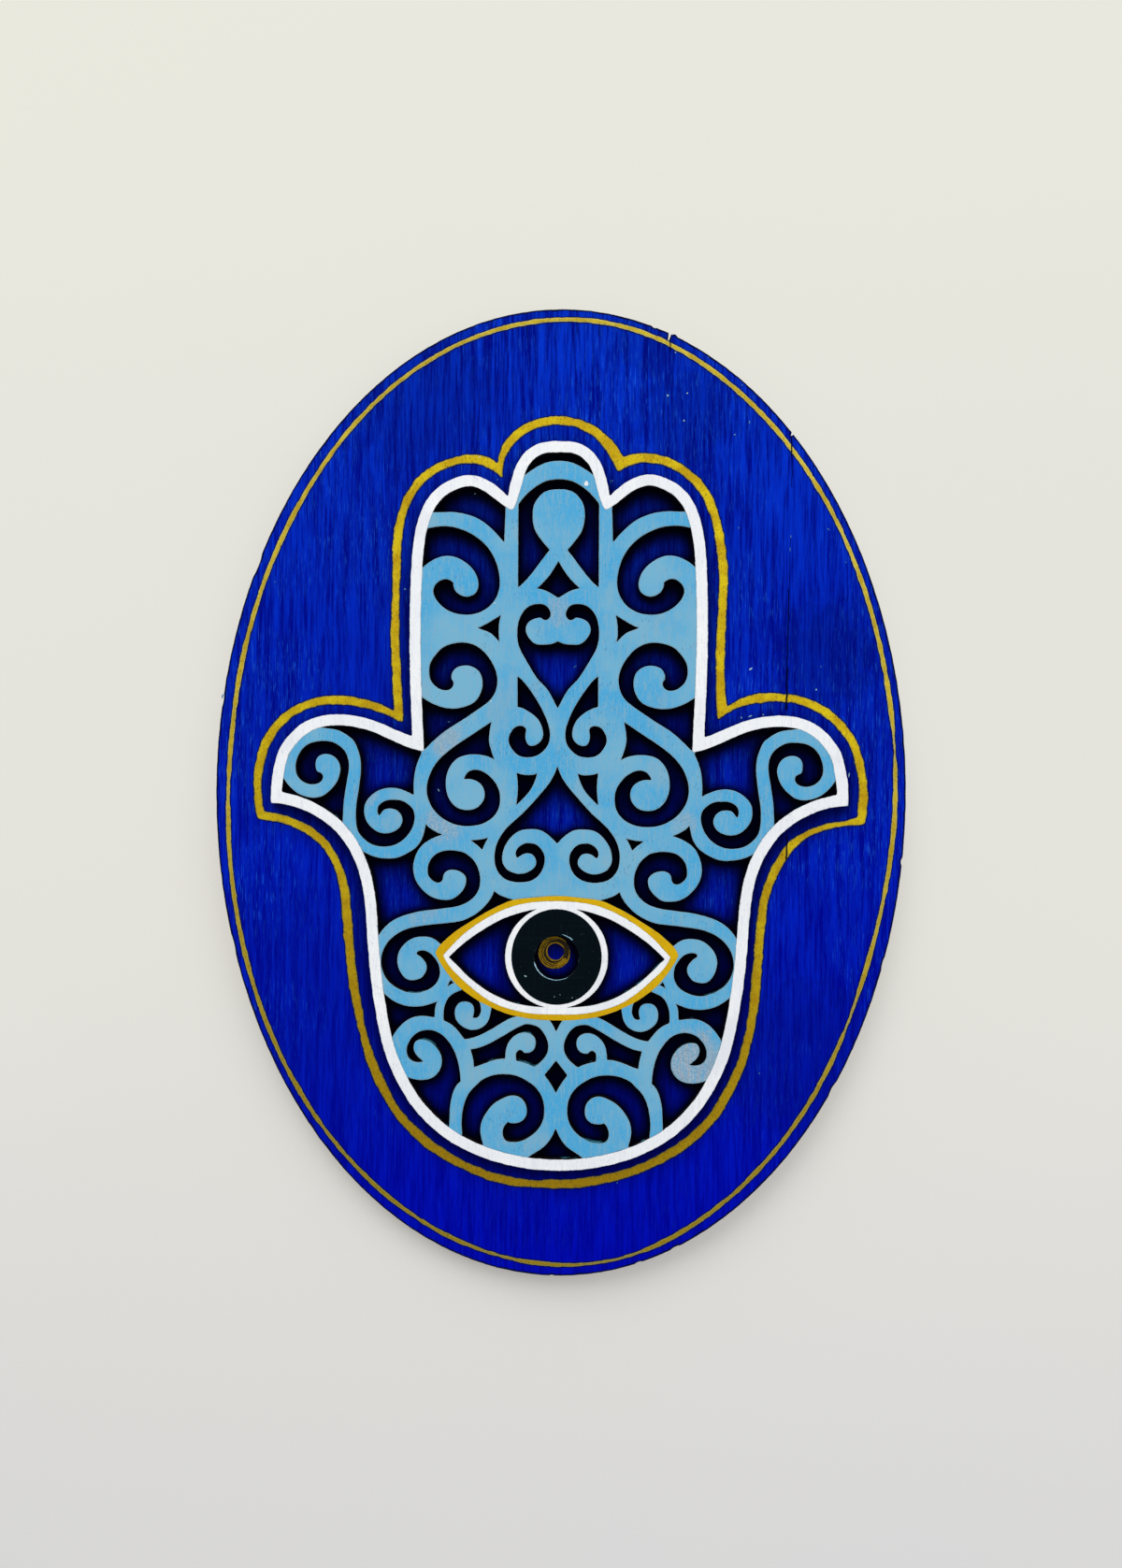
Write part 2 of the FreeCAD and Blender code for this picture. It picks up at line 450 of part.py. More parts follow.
def outward(line, point):
    """The outward normal of an outline that runs anticlockwise as seen from the front."""
    tangent = line.tangent(line.parameter(point))[0]
    return FreeCAD.Vector(tangent.z, 0, -tangent.x)


def spread(points, shares):
    """A share for each point, from shares that lie evenly along the line through the points."""
    reached = [0]
    for number in range(1, len(points)):
        reached.append(reached[-1] + (points[number] - points[number - 1]).Length)
    result = []
    for length in reached:
        step = (len(shares) - 1) * length / reached[-1]
        number = min(int(step), len(shares) - 2)
        result.append(shares[number] + (shares[number + 1] - shares[number]) * (step - number))
    return result


def steady(lists, distance):
    """The same distance for every point of an outline."""
    return [[distance] * len(points) for points in lists]


def shifted(lists, distances, reach_shares):
    """The outline moved outward by the distances of its points, or inward by negative ones, with pointed corners."""
    lines = [curve(points) for points in lists]
    border = wire(lists)
    corners = []
    for number, points in enumerate(lists):
        before = outward(lines[number - 1], points[0])
        after = outward(lines[number], points[0])
        distance = (distances[number - 1][-1] + distances[number][0]) / 2
        middle = (before + after).normalize()
        reach_share = min(1 / max(middle.dot(after), SHIFT_TOLERANCE_SHARE), reach_shares[number])
        corners.append(points[0] + middle * distance * reach_share)
    result = []
    for number, points in enumerate(lists):
        first = corners[number]
        last = corners[(number + 1) % len(corners)]
        kept = []
        for point, distance in zip(points[1:-1], distances[number][1:-1]):
            moved = point + outward(lines[number], point) * distance
            clear = Part.Vertex(moved).distToShape(border)[0] > abs(distance) * (1 - SHIFT_TOLERANCE_SHARE)
            nearest = min((moved - first).Length, (moved - last).Length)
            if clear and nearest > abs(distance) * CORNER_CLEAR_SHARE:
                kept.append(moved)
        result.append([first] + kept + [last])
    return result


def ellipse(centre, half_width, half_height):
    """An upright ellipse in the plane y = 0, whichever way it is longer."""
    top = centre + FreeCAD.Vector(0, 0, half_height)
    side = centre + FreeCAD.Vector(half_width, 0, 0)
    if half_height >= half_width:
        line = Part.Ellipse(top, side, centre)
    else:
        line = Part.Ellipse(side, top, centre)
    return Part.Face(Part.Wire(line.toShape()))


def disc(centre, radius):
    line = Part.Circle(centre, FreeCAD.Vector(0, -1, 0), radius)
    return Part.Face(Part.Wire(line.toShape()))


def sheet(flat, back, thickness):
    """Flat faces of the plane y = 0 as solids that lie on y = back and come forward by thickness."""
    depth = FreeCAD.Vector(0, -thickness, 0)
    solids = []
    for area in flat.Faces:
        solids.append(area.translated(FreeCAD.Vector(0, back, 0)).extrude(depth))
    return Part.makeCompound(solids)


def board_outline():
    centre = FreeCAD.Vector(0, 0, BOARD_CENTRE_Z)
    return ellipse(centre, BOARD_WIDTH / 2, BOARD_HEIGHT / 2)


def hand_outline():
    return whole(HAND_SHARES)


def hand_field():
    """The hand inside its white rim."""
    outline = hand_outline()
    notch = RIM_NOTCH_REACH_SHARE
    corner = RIM_CORNER_REACH_SHARE
    reaches = (notch, notch, corner, corner, corner, corner)
    return face(shifted(outline, steady(outline, -RIM_WIDTH), reaches))


def openings(field, eye):
    """Every sawn opening between the rim and the eye."""
    areas = []
    for stretches in SIDE_OPENINGS_SHARES:
        for side in (1, -1):
            areas.append(face(loop(stretches, side)))
    for half, smooth_first, smooth_last in MIDDLE_OPENINGS:
        areas.append(face(whole(half, smooth_first, smooth_last)))
    trimmed = []
    for area in areas:
        trimmed.extend(area.common(field).cut(eye).Faces)
    return trimmed


def iris_centre():
    return place(EYE_CENTRE_SHARES)


def pupil_centre():
    return iris_centre() - FreeCAD.Vector(0, 0, PUPIL_DROP)


def round_iris(half_shares):
    """An ellipse about the iris's centre."""
    half_width, half_height = half_shares
    return ellipse(iris_centre(), half_width * HAND_WIDTH / WHOLE_SHARE, half_height * HAND_HEIGHT / WHOLE_SHARE)


def eye_openings():
    """The two openings between the lids, one each side of the iris ring."""
    between = face(whole(EYE_WHITE_SHARES))
    return between.cut(round_iris(IRIS_RING_SHARES)).Faces


def hand_line():
    """The gold line that follows the hand on the board."""
    outline = hand_outline()
    notch = LINE_NOTCH_REACH_SHARE
    corner = LINE_CORNER_REACH_SHARE
    reaches = (notch, notch, notch, corner, corner, notch)
    gaps = []
    for points, shares in zip(outline, HAND_LINE_GAP_SHARES):
        gaps.append([share * HAND_LINE_GAP for share in spread(points, shares)])
    far = [[gap + HAND_LINE_WIDTH for gap in row] for row in gaps]
    inner = face(shifted(outline, gaps, reaches))
    outer = face(shifted(outline, far, reaches))
    return outer.cut(inner)


def oval_ring_side(extra):
    """One side of the hand-drawn oval line, extra further in than its middle."""
    points = []
    count = len(OVAL_LINE_INSET_SHARES)
    for number, share in enumerate(OVAL_LINE_INSET_SHARES):
        turn = 2 * math.pi * number / count
        inset = share * OVAL_LINE_INSET + extra
        x = (BOARD_WIDTH / 2 - inset) * math.cos(turn)
        z = BOARD_CENTRE_Z + (BOARD_HEIGHT / 2 - inset) * math.sin(turn)
        points.append(FreeCAD.Vector(x, 0, z))
    line = Part.BSplineCurve()
    line.interpolate(points, PeriodicFlag=True)
    return Part.Face(Part.Wire(line.toShape()))


def oval_line():
    return oval_ring_side(-OVAL_LINE_WIDTH / 2).cut(oval_ring_side(OVAL_LINE_WIDTH / 2))


def pupil_ring():
    """The gold ring that is painted on the board and seen through the pupil."""
    centre = pupil_centre() + FreeCAD.Vector(PUPIL_RING_SHIFT, 0, PUPIL_RING_RISE)
    return disc(centre, PUPIL_RING_RADIUS).cut(disc(centre, PUPIL_RING_RADIUS - PUPIL_RING_BAND))


def nail_places():
    """The points on the board's back where the two hanger nails go in."""
    x = HANGER_LENGTH / 2 - HANGER_FOOT / 2
    z = HANGER_HEIGHT / 2 - TOOTH_DEPTH
    return [FreeCAD.Vector(side * x, BOARD_BACK, z) for side in (-1, 1)]


def nail(entry):
    """A small flat-headed nail whose head holds the hanger's foot to the board."""
    forward = FreeCAD.Vector(0, -1, 0)
    seat = entry + FreeCAD.Vector(0, HANGER_SHEET, 0)
    head = Part.makeCylinder(NAIL_HEAD_RADIUS, NAIL_HEAD_THICKNESS, seat, -forward)
    shank = Part.makeCylinder(NAIL_SHANK_RADIUS, NAIL_LENGTH - NAIL_POINT, seat, forward)
    point = Part.makeCone(NAIL_SHANK_RADIUS, 0, NAIL_POINT, seat + forward * (NAIL_LENGTH - NAIL_POINT), forward)
    return head.fuse([shank, point]).removeSplitter()


def hanger():
    """A bent strip with flat feet, a raised middle and a toothed lower edge."""
    half = HANGER_LENGTH / 2
    foot_end = half - HANGER_FOOT
    bridge_end = foot_end - HANGER_RAMP
    low = BOARD_BACK
    high = BOARD_BACK + HANGER_GAP
    under = ((-half, low), (-foot_end, low), (-bridge_end, high), (bridge_end, high), (foot_end, low), (half, low))
    over = [(x, y + HANGER_SHEET) for x, y in reversed(under)]
    section = [FreeCAD.Vector(x, y, -TOOTH_DEPTH) for x, y in under + tuple(over)]
    section.append(section[0])
    strip = Part.Face(Part.makePolygon(section)).extrude(FreeCAD.Vector(0, 0, HANGER_HEIGHT))
    cuts = []
    teeth_each_side = int(bridge_end / TOOTH_PITCH)
    for number in range(-teeth_each_side, teeth_each_side + 1):
        cuts.append(tooth_gap(number * TOOTH_PITCH))
    for entry in nail_places():
        start = entry - FreeCAD.Vector(0, CUT_OVERRUN, 0)
        depth = HANGER_SHEET + 2 * CUT_OVERRUN
        radius = NAIL_SHANK_RADIUS + NAIL_CLEARANCE
        cuts.append(Part.makeCylinder(radius, depth, start, FreeCAD.Vector(0, 1, 0)))
    return strip.cut(cuts)


def tooth_gap(x):
    """The notch between two teeth, with its top at z = 0."""
    half = TOOTH_PITCH / 2
    start = BOARD_BACK - CUT_OVERRUN
    corners = [FreeCAD.Vector(x, start, 0),
               FreeCAD.Vector(x - half, start, -TOOTH_DEPTH),
               FreeCAD.Vector(x + half, start, -TOOTH_DEPTH),
               FreeCAD.Vector(x, start, 0)]
    depth = FreeCAD.Vector(0, STANDOFF + 2 * CUT_OVERRUN, 0)
    return Part.Face(Part.makePolygon(corners)).extrude(depth)


def pads():
    """Two soft pads that keep the board's lower end off the wall."""
    solids = []
    for side in (-1, 1):
        x = side * PAD_FROM_MIDDLE
        base = FreeCAD.Vector(x, BOARD_BACK, BOARD_END_Z + PAD_ABOVE_BOARD_END)
        pad = Part.makeCylinder(PAD_RADIUS, STANDOFF, base, FreeCAD.Vector(0, 1, 0))
        rim = [edge for edge in pad.Edges if edge.Curve.TypeId == "Part::GeomCircle" and edge.CenterOfMass.y == 0]
        solids.append(pad.makeFillet(PAD_ROUNDING, rim))
    return Part.makeCompound(solids)


def main():
    os.makedirs("parts", exist_ok=True)
    board = board_outline()
    hand = face(hand_outline())
    field = hand_field()
    eye = face(whole(EYE_SHARES))
    lids = face(whole(LID_SHARES))
    holes = openings(field, eye)
    whites = eye_openings()
    iris = round_iris(IRIS_SHARES)
    pupil = disc(pupil_centre(), PUPIL_RADIUS)
    fret = hand.cut(holes + whites + [pupil])
    beside_hand = hand_line().common(board)
    nails = [nail(entry) for entry in nail_places()]
    pieces = {
        "board_back_ply": sheet(board, BOARD_BACK, BOARD_BACK_PLY).cut(nails),
        "board_core_ply": sheet(board, BOARD_CORE_BACK, BOARD_CORE_PLY).cut(nails),
        "board_face_ply": sheet(board, BOARD_FACE_BACK, BOARD_FACE_PLY),
        "hand_back_ply": sheet(fret, BOARD_FRONT, FRET_BACK_PLY),
        "hand_core_ply": sheet(fret, FRET_CORE_BACK, FRET_CORE_PLY),
        "hand_face_ply": sheet(fret, FRET_FACE_BACK, FRET_FACE_PLY),
        "rim_paint": sheet(hand.cut(field), FRET_FRONT, PAINT_COAT),
        "scroll_paint": sheet(field.cut(holes + [eye]), FRET_FRONT, PAINT_COAT),
        "eye_gold_paint": sheet(eye.cut(lids), FRET_FRONT, PAINT_COAT),
        "eye_white_paint": sheet(lids.cut(whites + [iris]), FRET_FRONT, PAINT_COAT),
        "iris_paint": sheet(iris.cut(pupil), FRET_FRONT, PAINT_COAT),
        "hand_gold_line": sheet(beside_hand, BOARD_FRONT, GOLD_COAT),
        "oval_gold_line": sheet(oval_line().cut([hand, beside_hand]), BOARD_FRONT, GOLD_COAT),
        "pupil_gold_ring": sheet(pupil_ring().common(pupil), BOARD_FRONT, GOLD_COAT),
        "sawtooth_hanger": hanger(),
        "hanger_nails": Part.makeCompound(nails),
        "wall_pads": pads(),
    }
    for name, shape in pieces.items():
        shape.exportStep("parts/" + name + ".step")
        print(name, len(shape.Solids), "solids", round(shape.Volume, 1), "mm3", "valid", shape.isValid())


main()
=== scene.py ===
import math

import bpy
from mathutils import Matrix, Vector, noise
from mathutils.geometry import delaunay_2d_cdt


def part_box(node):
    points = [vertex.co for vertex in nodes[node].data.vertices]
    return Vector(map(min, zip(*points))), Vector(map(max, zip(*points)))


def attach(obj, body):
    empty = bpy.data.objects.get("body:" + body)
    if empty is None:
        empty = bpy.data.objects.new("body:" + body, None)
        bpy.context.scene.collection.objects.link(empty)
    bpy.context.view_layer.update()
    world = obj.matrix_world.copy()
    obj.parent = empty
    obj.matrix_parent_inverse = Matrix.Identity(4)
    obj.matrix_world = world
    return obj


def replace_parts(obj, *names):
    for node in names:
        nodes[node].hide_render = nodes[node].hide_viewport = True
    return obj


# The looks of a painted hamsa wall plaque: an oval blue board with a fretted hand glued to its front.
# Metres, X to the right seen from the front, Z up, the painted front faces -Y.

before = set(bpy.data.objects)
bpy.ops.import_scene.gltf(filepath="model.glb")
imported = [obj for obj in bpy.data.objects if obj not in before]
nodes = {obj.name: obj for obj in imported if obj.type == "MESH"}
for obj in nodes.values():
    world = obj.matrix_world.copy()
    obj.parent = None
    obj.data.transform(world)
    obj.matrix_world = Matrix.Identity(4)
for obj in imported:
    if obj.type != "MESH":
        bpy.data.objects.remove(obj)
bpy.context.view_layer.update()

MM = 0.001

# Camera: its place before the plaque, the small turn and tilt it was held at, and its lens.
CAMERA_RIGHT = 17.13 * MM
CAMERA_BEFORE_ORIGIN = 418.1 * MM
CAMERA_BELOW_ORIGIN = 105.18 * MM
CAMERA_YAW = math.radians(2.2567)
CAMERA_ROLL = math.radians(0.2857)
SENSOR = 36.0
PHOTO_WIDTH = 1200
PHOTO_HEIGHT = 1677
FOCAL_PIXELS = 1500
CAMERA_PLACE = Vector((CAMERA_RIGHT, -CAMERA_BEFORE_ORIGIN, -CAMERA_BELOW_ORIGIN))

# The board's painted face, the fret's painted front, and the ring behind the pupil.
BOARD_FACE_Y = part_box("board_face_ply")[0].y
FRET_FACE_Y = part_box("scroll_paint")[0].y
PUPIL_LOW, PUPIL_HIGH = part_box("pupil_gold_ring")

# Hairline cracks in the board along the grain: photo pixels at their ends, and their widths.
CRACK_PIXELS = (
    ((717, 356), (717, 374), 0.35 * MM),
    ((846.4, 462), (846.6, 487), 0.4 * MM),
    ((846.8, 484), (847, 520), 0.18 * MM),
    ((845.5, 575), (843.6, 640), 0.14 * MM),
    ((843.6, 632), (841.2, 758), 0.34 * MM),
    ((842, 715), (841, 758), 0.55 * MM),
    ((842, 896), (841, 918), 0.45 * MM),
    ((564, 351), (564, 361), 0.2 * MM),
    ((617, 347), (617, 356), 0.25 * MM),
    ((641, 348), (641, 357), 0.2 * MM),
)
CRACK_WANDER = 0.8 * MM

# Chips in the board's sawn edge: photo pixel, millimetres to each side, millimetres deep.
CHIPS = (
    ((717.5, 353), 0.35, 2.6),
    ((846.8, 465), 0.35, 0.8),
    ((275, 604), 3.5, 0.4),
    ((236, 748), 2.0, 0.25),
    ((700, 349), 0.8, 0.3),
    ((905, 1180), 2.5, 0.3),
    ((880, 1223), 1.2, 0.35),
    ((722.5, 357), 0.9, -0.45),
    ((683, 1349), 1.2, 0.35),
    ((722, 1334), 1.5, 0.3),
    ((590, 1363), 0.8, 0.2),
    ((247, 1010), 3.0, 0.25),
    ((962, 921), 1.2, 0.4),
    ((943, 1030), 2.0, 0.25),
)

# The saw's unevenness round the board.
SAW_SWAY = 0.1 * MM
SAW_INSET = 0.07 * MM
SAW_STEP = 0.15 * MM

# Darker clouds in the board's stain, and greyer patches rubbed thin in the light blue:
# photo pixel, millimetres across, how strongly they show.
STAIN_CLOUDS = (
    ((887, 698), 40, 0.4),
    ((450, 425), 60, 0.3),
    ((735, 445), 36, 0.3),
    ((700, 365), 30, 0.25),
    ((850, 1130), 60, 0.3),
)
RUBBED_PATCHES = (
    ((740, 1136), 24, 1.0),
    ((478, 793), 12, 0.8),
    ((471, 883), 14, 0.7),
    ((392, 850), 8, 0.6),
    ((451, 974), 12, 0.4),
    ((545, 1215), 8, 0.5),
    ((600, 655), 12, 0.5),
    ((733, 880), 10, 0.5),
)

# Where the pen ran thin on the gold lines: photo pixel, millimetres across, millimetres off each side.
THIN_STROKES = (
    ((900, 876), 14, 0.5),
    ((880, 878), 16, 0.5),
    ((862, 886), 14, 0.4),
    ((918, 840), 14, 0.2),
    ((570, 1264), 16, 0.25),
    ((955, 800), 20, 0.3),
    ((905, 1095), 30, 0.3),
    ((540, 1344), 22, 0.25),
    ((660, 1344), 30, 0.3),
)

# Marks left by the brush: photo pixel, millimetres across and along, degrees of lean.
BRIGHT_SPECKS = (
    ((714.2, 423.1), 0.5, 0.6, 10),
    ((735.1, 420.5), 0.4, 0.45, 0),
    ((731.6, 450), 0.45, 0.5, 0),
    ((722.5, 377), 0.4, 0.4, 0),
    ((803, 715.4), 0.45, 1.1, 60),
    ((793, 767.5), 0.25, 0.7, -40),
    ((802.2, 766), 0.35, 1.2, 65),
    ((816.3, 764.4), 0.4, 0.4, 0),
    ((873, 737.6), 0.4, 0.55, 20),
    ((469, 845), 0.3, 0.9, -30),
    ((908, 829), 0.35, 1.3, 5),
    ((508, 528), 0.35, 0.35, 0),
)
FAINT_SPECKS = (
    ((801.5, 451.8), 0.35, 1.1, 0),
    ((785.8, 465), 0.4, 0.6, 30),
    ((757.6, 382.4), 0.35, 0.35, 0),
    ((793.6, 411.8), 0.3, 0.4, 0),
    ((790, 564.6), 0.35, 0.5, 0),
    ((845.8, 573.8), 0.2, 0.9, 0),
    ((845, 588), 0.2, 1.2, 0),
    ((886, 566), 0.25, 0.8, -50),
    ((904.8, 601.3), 0.3, 0.3, 0),
    ((878, 713), 0.3, 0.3, 0),
    ((294, 622.5), 0.25, 0.3, 0),
    ((238, 744.5), 0.5, 1.3, 10),
    ((532, 513), 0.25, 0.6, 30),
    ((653, 515), 0.2, 0.7, -20),
    ((655, 514), 0.2, 0.5, 60),
    ((433, 630), 0.7, 0.5, 40),
    ((615, 713), 0.22, 1.2, 50),
    ((480, 772), 0.5, 0.3, 0),
    ((660, 1265), 0.2, 0.6, 0),
    ((812, 1148), 0.3, 0.5, 0),
)
FRET_SPECKS = (
    ((627, 517.5), 1.25, 1.4, 0),
    ((513, 489), 0.4, 0.3, 0),
    ((525, 749.5), 0.5, 0.3, 30),
    ((529, 645), 0.3, 0.5, 0),
)
IRIS_SPECKS = (
    ((562, 1044), 0.7, 0.35, 35),
    ((593, 1066), 0.25, 0.25, 0),
    ((599, 1064), 0.25, 0.2, 0),
    ((612, 1067), 0.25, 0.25, 0),
)

# Painted highlights, pale glints on the pupil's edge: its middle and radius, and each glint's start angle
# and turns.
PUPIL_PIXEL = (595.6, 1023.6)
PUPIL_REACH = 6.75 * MM
PUPIL_GLINTS = ((47, 0.085), (192, 0.3))
PUPIL_GLINT_WIDTHS = (0.35 * MM, 0.12 * MM)

# The pupil's ring: strokes round the ring or its off-centre hole, with their radii as shares,
# their widths in millimetres, their start angle and their turns.
RING_HOLE_SHARE = 0.52
RING_HOLE_RIGHT = 0.35 * MM
RING_HOLE_UP = 0.3 * MM
RING_WASH_SHARE = 0.95
RING_WASH_SWAY = 0.5 * MM
RING_HOLE_SWAY = 0.3 * MM
RING_STROKES = (
    ("ring", (0.95, 0.93), (0.45, 0.4), 40, 0.93),
    ("ring", (0.82, 0.8), (0.3, 0.25), 75, 0.6),
    ("ring", (0.7, 0.68), (0.25, 0.3), 110, 0.5),
    ("hole", (1.06, 1.04), (0.4, 0.35), 20, 0.9),
    ("ring", (0.78, 0.76), (1.5, 1.3), 262, 0.2),
)

# Coats: a speck's thickness, a stain's, and how far the coats of a gold line and of the scrolls lie back.
SPECK = 0.04 * MM
FILM = 0.01 * MM
GROUND_BELOW = 0.08 * MM
FIRST_COAT_BELOW = 0.07 * MM
EDGE_BELOW = 0.05 * MM

# Brushwork: how far its edge sways, how far it is drawn in, and how many times its corners are eased.
RIM_BRUSH = {"sway": 0.2 * MM, "below": SPECK, "ease": 4}
EYE_BRUSH = {"sway": 0.12 * MM, "below": SPECK, "ease": 1}
SCROLL_FIRST_BRUSH = {"sway": 0.1 * MM, "below": FIRST_COAT_BELOW, "ease": 1}
SCROLL_BRUSH = {"sway": 0.14 * MM, "inset": 0.14 * MM, "below": SPECK, "ease": 1}
IRIS_BRUSH = {"sway": 0.1 * MM, "below": SPECK}
EYE_GOLD_BRUSH = {"sway": 0.14 * MM, "below": SPECK, "ease": 2}

# Gold lines: sway, inset, how much thicker and thinner they run, and how far the bright stroke lies
# inside the pale edge. Each has a dark ground that reaches beyond it.
LINE_STROKES = (
    ("hand", 0.42 * MM, -0.06 * MM, 0.3 * MM, 0.2 * MM),
    ("oval", 0.3 * MM, 0.08 * MM, 0.22 * MM, 0.26 * MM),
)
GROUND_REACH = 0.28 * MM
LINE_EASE = 5

# The sway of a brush: bends per millimetre, slow and quick, with the slow one's share of it,
# and the pace at which a stroke swells, from where in the noise, and by how much at most.
SLOW_SWAY = 0.35
QUICK_SWAY = 1.3
SLOW_SHARE = 0.6
SWELL_PACE = 0.07
SWELL_FROM = Vector((7, 3, 0))
MOST_SWELL = 0.5 * MM

# A round stroke: how far it wanders, and the paces at which it wanders and its width changes.
STROKE_WANDER = 0.12 * MM
WANDER_PACE = 1.6
STROKE_PACE = 3.1

# A speck's outline: its points, how ragged it is, and at what pace.
BLOT_POINTS = 16
BLOT_RAGGED = 0.45
BLOT_PACE = 1.3

# Faces whose normals reach this far forward are a node's front. Points closer than the other two
# are one: decimals of a millimetre where outlines are read, metres where they are filled.
FRONT_FACING = -0.99
SAME_POINT_DECIMALS = 4
SAME_POINT = 1e-8

# How far the band beside the hand, darker lower down as painted shade, reaches under the gold line, and
# the char in from the rim.
BAND_INSET = 0.8 * MM
CHAR_WIDTH = 0.46 * MM
CHAR_SWAY = 0.3 * MM

# How far off the fret still casts painted shade on the board: over an opening, in a corner, and from
# overhead.
OUTWARD = (0, -1, 0)
OVERHEAD = (0, -0.62, 0.78)
OPENING_REACH = 9.0 * MM
CORNER_REACH = 3.5 * MM
OVERHEAD_REACH = 11.0 * MM

# The oval line drifts left between two rows of the photograph.
DRIFT_ROWS = (780, 1260)
DRIFT = 0.9 * MM

# Studio: lamps with their place, diameter, power and colour, all aimed at the plaque.
LAMPS = (
    ("key", (-0.45, -0.95, 0.8), 1.1, 8.0, (1.0, 0.99, 0.97)),
    ("fill", (0.9, -0.9, 0.1), 1.2, 3.0, (1, 1, 1)),
    ("behind", (-0.5, 0.9, 0.7), 0.9, 7.0, (1, 1, 1)),
)
LAMPS_AIM = (0, 0, -0.11)
SKY_STRENGTH = 0.62
WALL_HALF = 1.5
WALL_GAP = 0.2 * MM

# Heights between which the wall's colour and glow change, and its strongest glow.
WALL_FOOT = (-0.36, -0.12)
WALL_HEAD = (-0.05, 0.13)
GLOW_HEAD = (-0.08, 0.12)
SHADOW_FADES = (-0.245, -0.08)
MOST_GLOW = 0.9


def srgb(red, green, blue):
    """A display colour, 0 to 255, as linear red, green, blue and alpha."""
    linear = []
    for value in (red, green, blue):
        share = value / 255
        linear.append(share / 12.92 if share <= 0.04045 else ((share + 0.055) / 1.055) ** 2.4)
    return (*linear, 1.0)


# The board's stain. Two colours are its foot and head, or the two ends of a mottled one.
STAIN_DEEP = (srgb(0, 3, 150), srgb(0, 10, 130))
STAIN_BRIGHT = (srgb(0, 9, 182), srgb(2, 50, 200))
STAIN_LIT = srgb(36, 108, 236)
STAIN_POOLED = srgb(0, 16, 124)
STAIN_CLOUDED = srgb(0, 12, 100)
# Painted shade: the band beside the hand, darker over its lower half where the rim shades it.
STAIN_PAINTED_SHADE_LOW = srgb(0, 4, 70)
# Painted shade near and under the fret, black where it is deepest.
STAIN_SHADED = srgb(0, 2, 60)
STAIN_PAINTED_SHADE_BLACK = srgb(0, 1, 10)
STAIN_CRACKED = srgb(0, 2, 22)
STAIN_SAWN = (srgb(6, 10, 34), srgb(16, 26, 78))
STAIN_SPILT = (srgb(10, 30, 120), srgb(30, 70, 160))

# Bare and burnt wood, and the paint on it.
VENEER = (srgb(224, 196, 154), srgb(206, 170, 124))
GROWTH_RING = srgb(176, 130, 86)
FIBRE = srgb(178, 138, 94)
PORE = srgb(120, 84, 54)
KNOT = srgb(112, 70, 42)
CHAR = (srgb(14, 12, 26), srgb(58, 38, 28))
SCORCH = (srgb(9, 9, 16), srgb(26, 19, 20))
SCORCH_LINE = srgb(44, 30, 24)
PAINT_RUN = srgb(66, 140, 164)
PRIMER = srgb(122, 152, 170)

# Brushed paints: where it is pale, full and worn, and its flecks.
WHITE_PAINT = (srgb(247, 249, 251), srgb(240, 243, 247), srgb(222, 227, 236), srgb(178, 188, 204))
THIN_BLUE = (srgb(168, 208, 226), srgb(146, 196, 220), srgb(132, 178, 204), srgb(90, 130, 160))
LIGHT_BLUE = (srgb(116, 180, 212), srgb(72, 168, 219), srgb(134, 176, 198), srgb(62, 114, 154))
FAINT_BLUE = (srgb(84, 150, 196), srgb(52, 112, 178), srgb(120, 160, 190), srgb(30, 60, 120))
CHARRED_RIM = (srgb(0, 4, 62), srgb(0, 2, 44), srgb(2, 14, 80), srgb(0, 0, 18))
LINE_GROUND = (srgb(0, 10, 62), srgb(0, 4, 46), srgb(4, 24, 84), srgb(0, 0, 24))
RUBBED = (srgb(126, 154, 178), srgb(170, 184, 194))
COAT_SIDE = srgb(44, 66, 92)
IRIS = (srgb(2, 12, 18), srgb(5, 17, 24))
IRIS_DOT = srgb(60, 74, 82)

# Golds: bright, dull and shaded.
LINE_GOLD = (srgb(236, 210, 22), srgb(202, 164, 8), srgb(92, 66, 4))
LINE_EDGE_GOLD = (srgb(190, 176, 96), srgb(160, 146, 78), srgb(66, 62, 44))
OVAL_GOLD = (srgb(222, 198, 52), srgb(192, 162, 20), srgb(96, 78, 8))
OVAL_EDGE_GOLD = (srgb(216, 206, 136), srgb(192, 180, 108), srgb(104, 98, 62))
EYE_GOLD = (srgb(238, 200, 12), srgb(222, 178, 4), srgb(186, 142, 4))
RING_GOLD = (srgb(206, 164, 22), srgb(160, 124, 10), srgb(60, 48, 8))
RING_WASH = (srgb(64, 52, 8), srgb(40, 32, 6), srgb(14, 12, 10))
GOLD_CRACKED = srgb(2, 4, 20)

# Plating, bright and dark, with its roughness, and the pads with their dust.
HANGER_STEEL = (srgb(196, 200, 206), srgb(160, 164, 170), 0.28)
NAIL_STEEL = (srgb(206, 184, 120), srgb(170, 146, 90), 0.25)
PAD = (srgb(232, 232, 228), srgb(220, 220, 214))
DUST = srgb(150, 146, 136)

# The wall's colour low, at mid height and high, with painted shading that is brightest at mid height and
# darker low down, its clouds, and its glow at the same three heights.
WALL_WITH_PAINTED_SHADE = (srgb(226, 226, 227), srgb(234, 232, 225), srgb(228, 228, 218))
WALL_CLOUD = srgb(228, 227, 221)
WALL_GLOW = (srgb(217, 217, 215), srgb(228, 227, 220), srgb(232, 232, 222))
BACKDROP = srgb(232, 231, 228)


def camera_turn():
    """The camera's axes as a rotation."""
    cos_yaw, sin_yaw = math.cos(CAMERA_YAW), math.sin(CAMERA_YAW)
    cos_roll, sin_roll = math.cos(CAMERA_ROLL), math.sin(CAMERA_ROLL)
    right = Vector((cos_yaw * cos_roll, sin_yaw, cos_yaw * sin_roll))
    up = Vector((-sin_roll, 0, cos_roll))
    back = right.cross(up)
    return Matrix((right, up, back)).transposed()


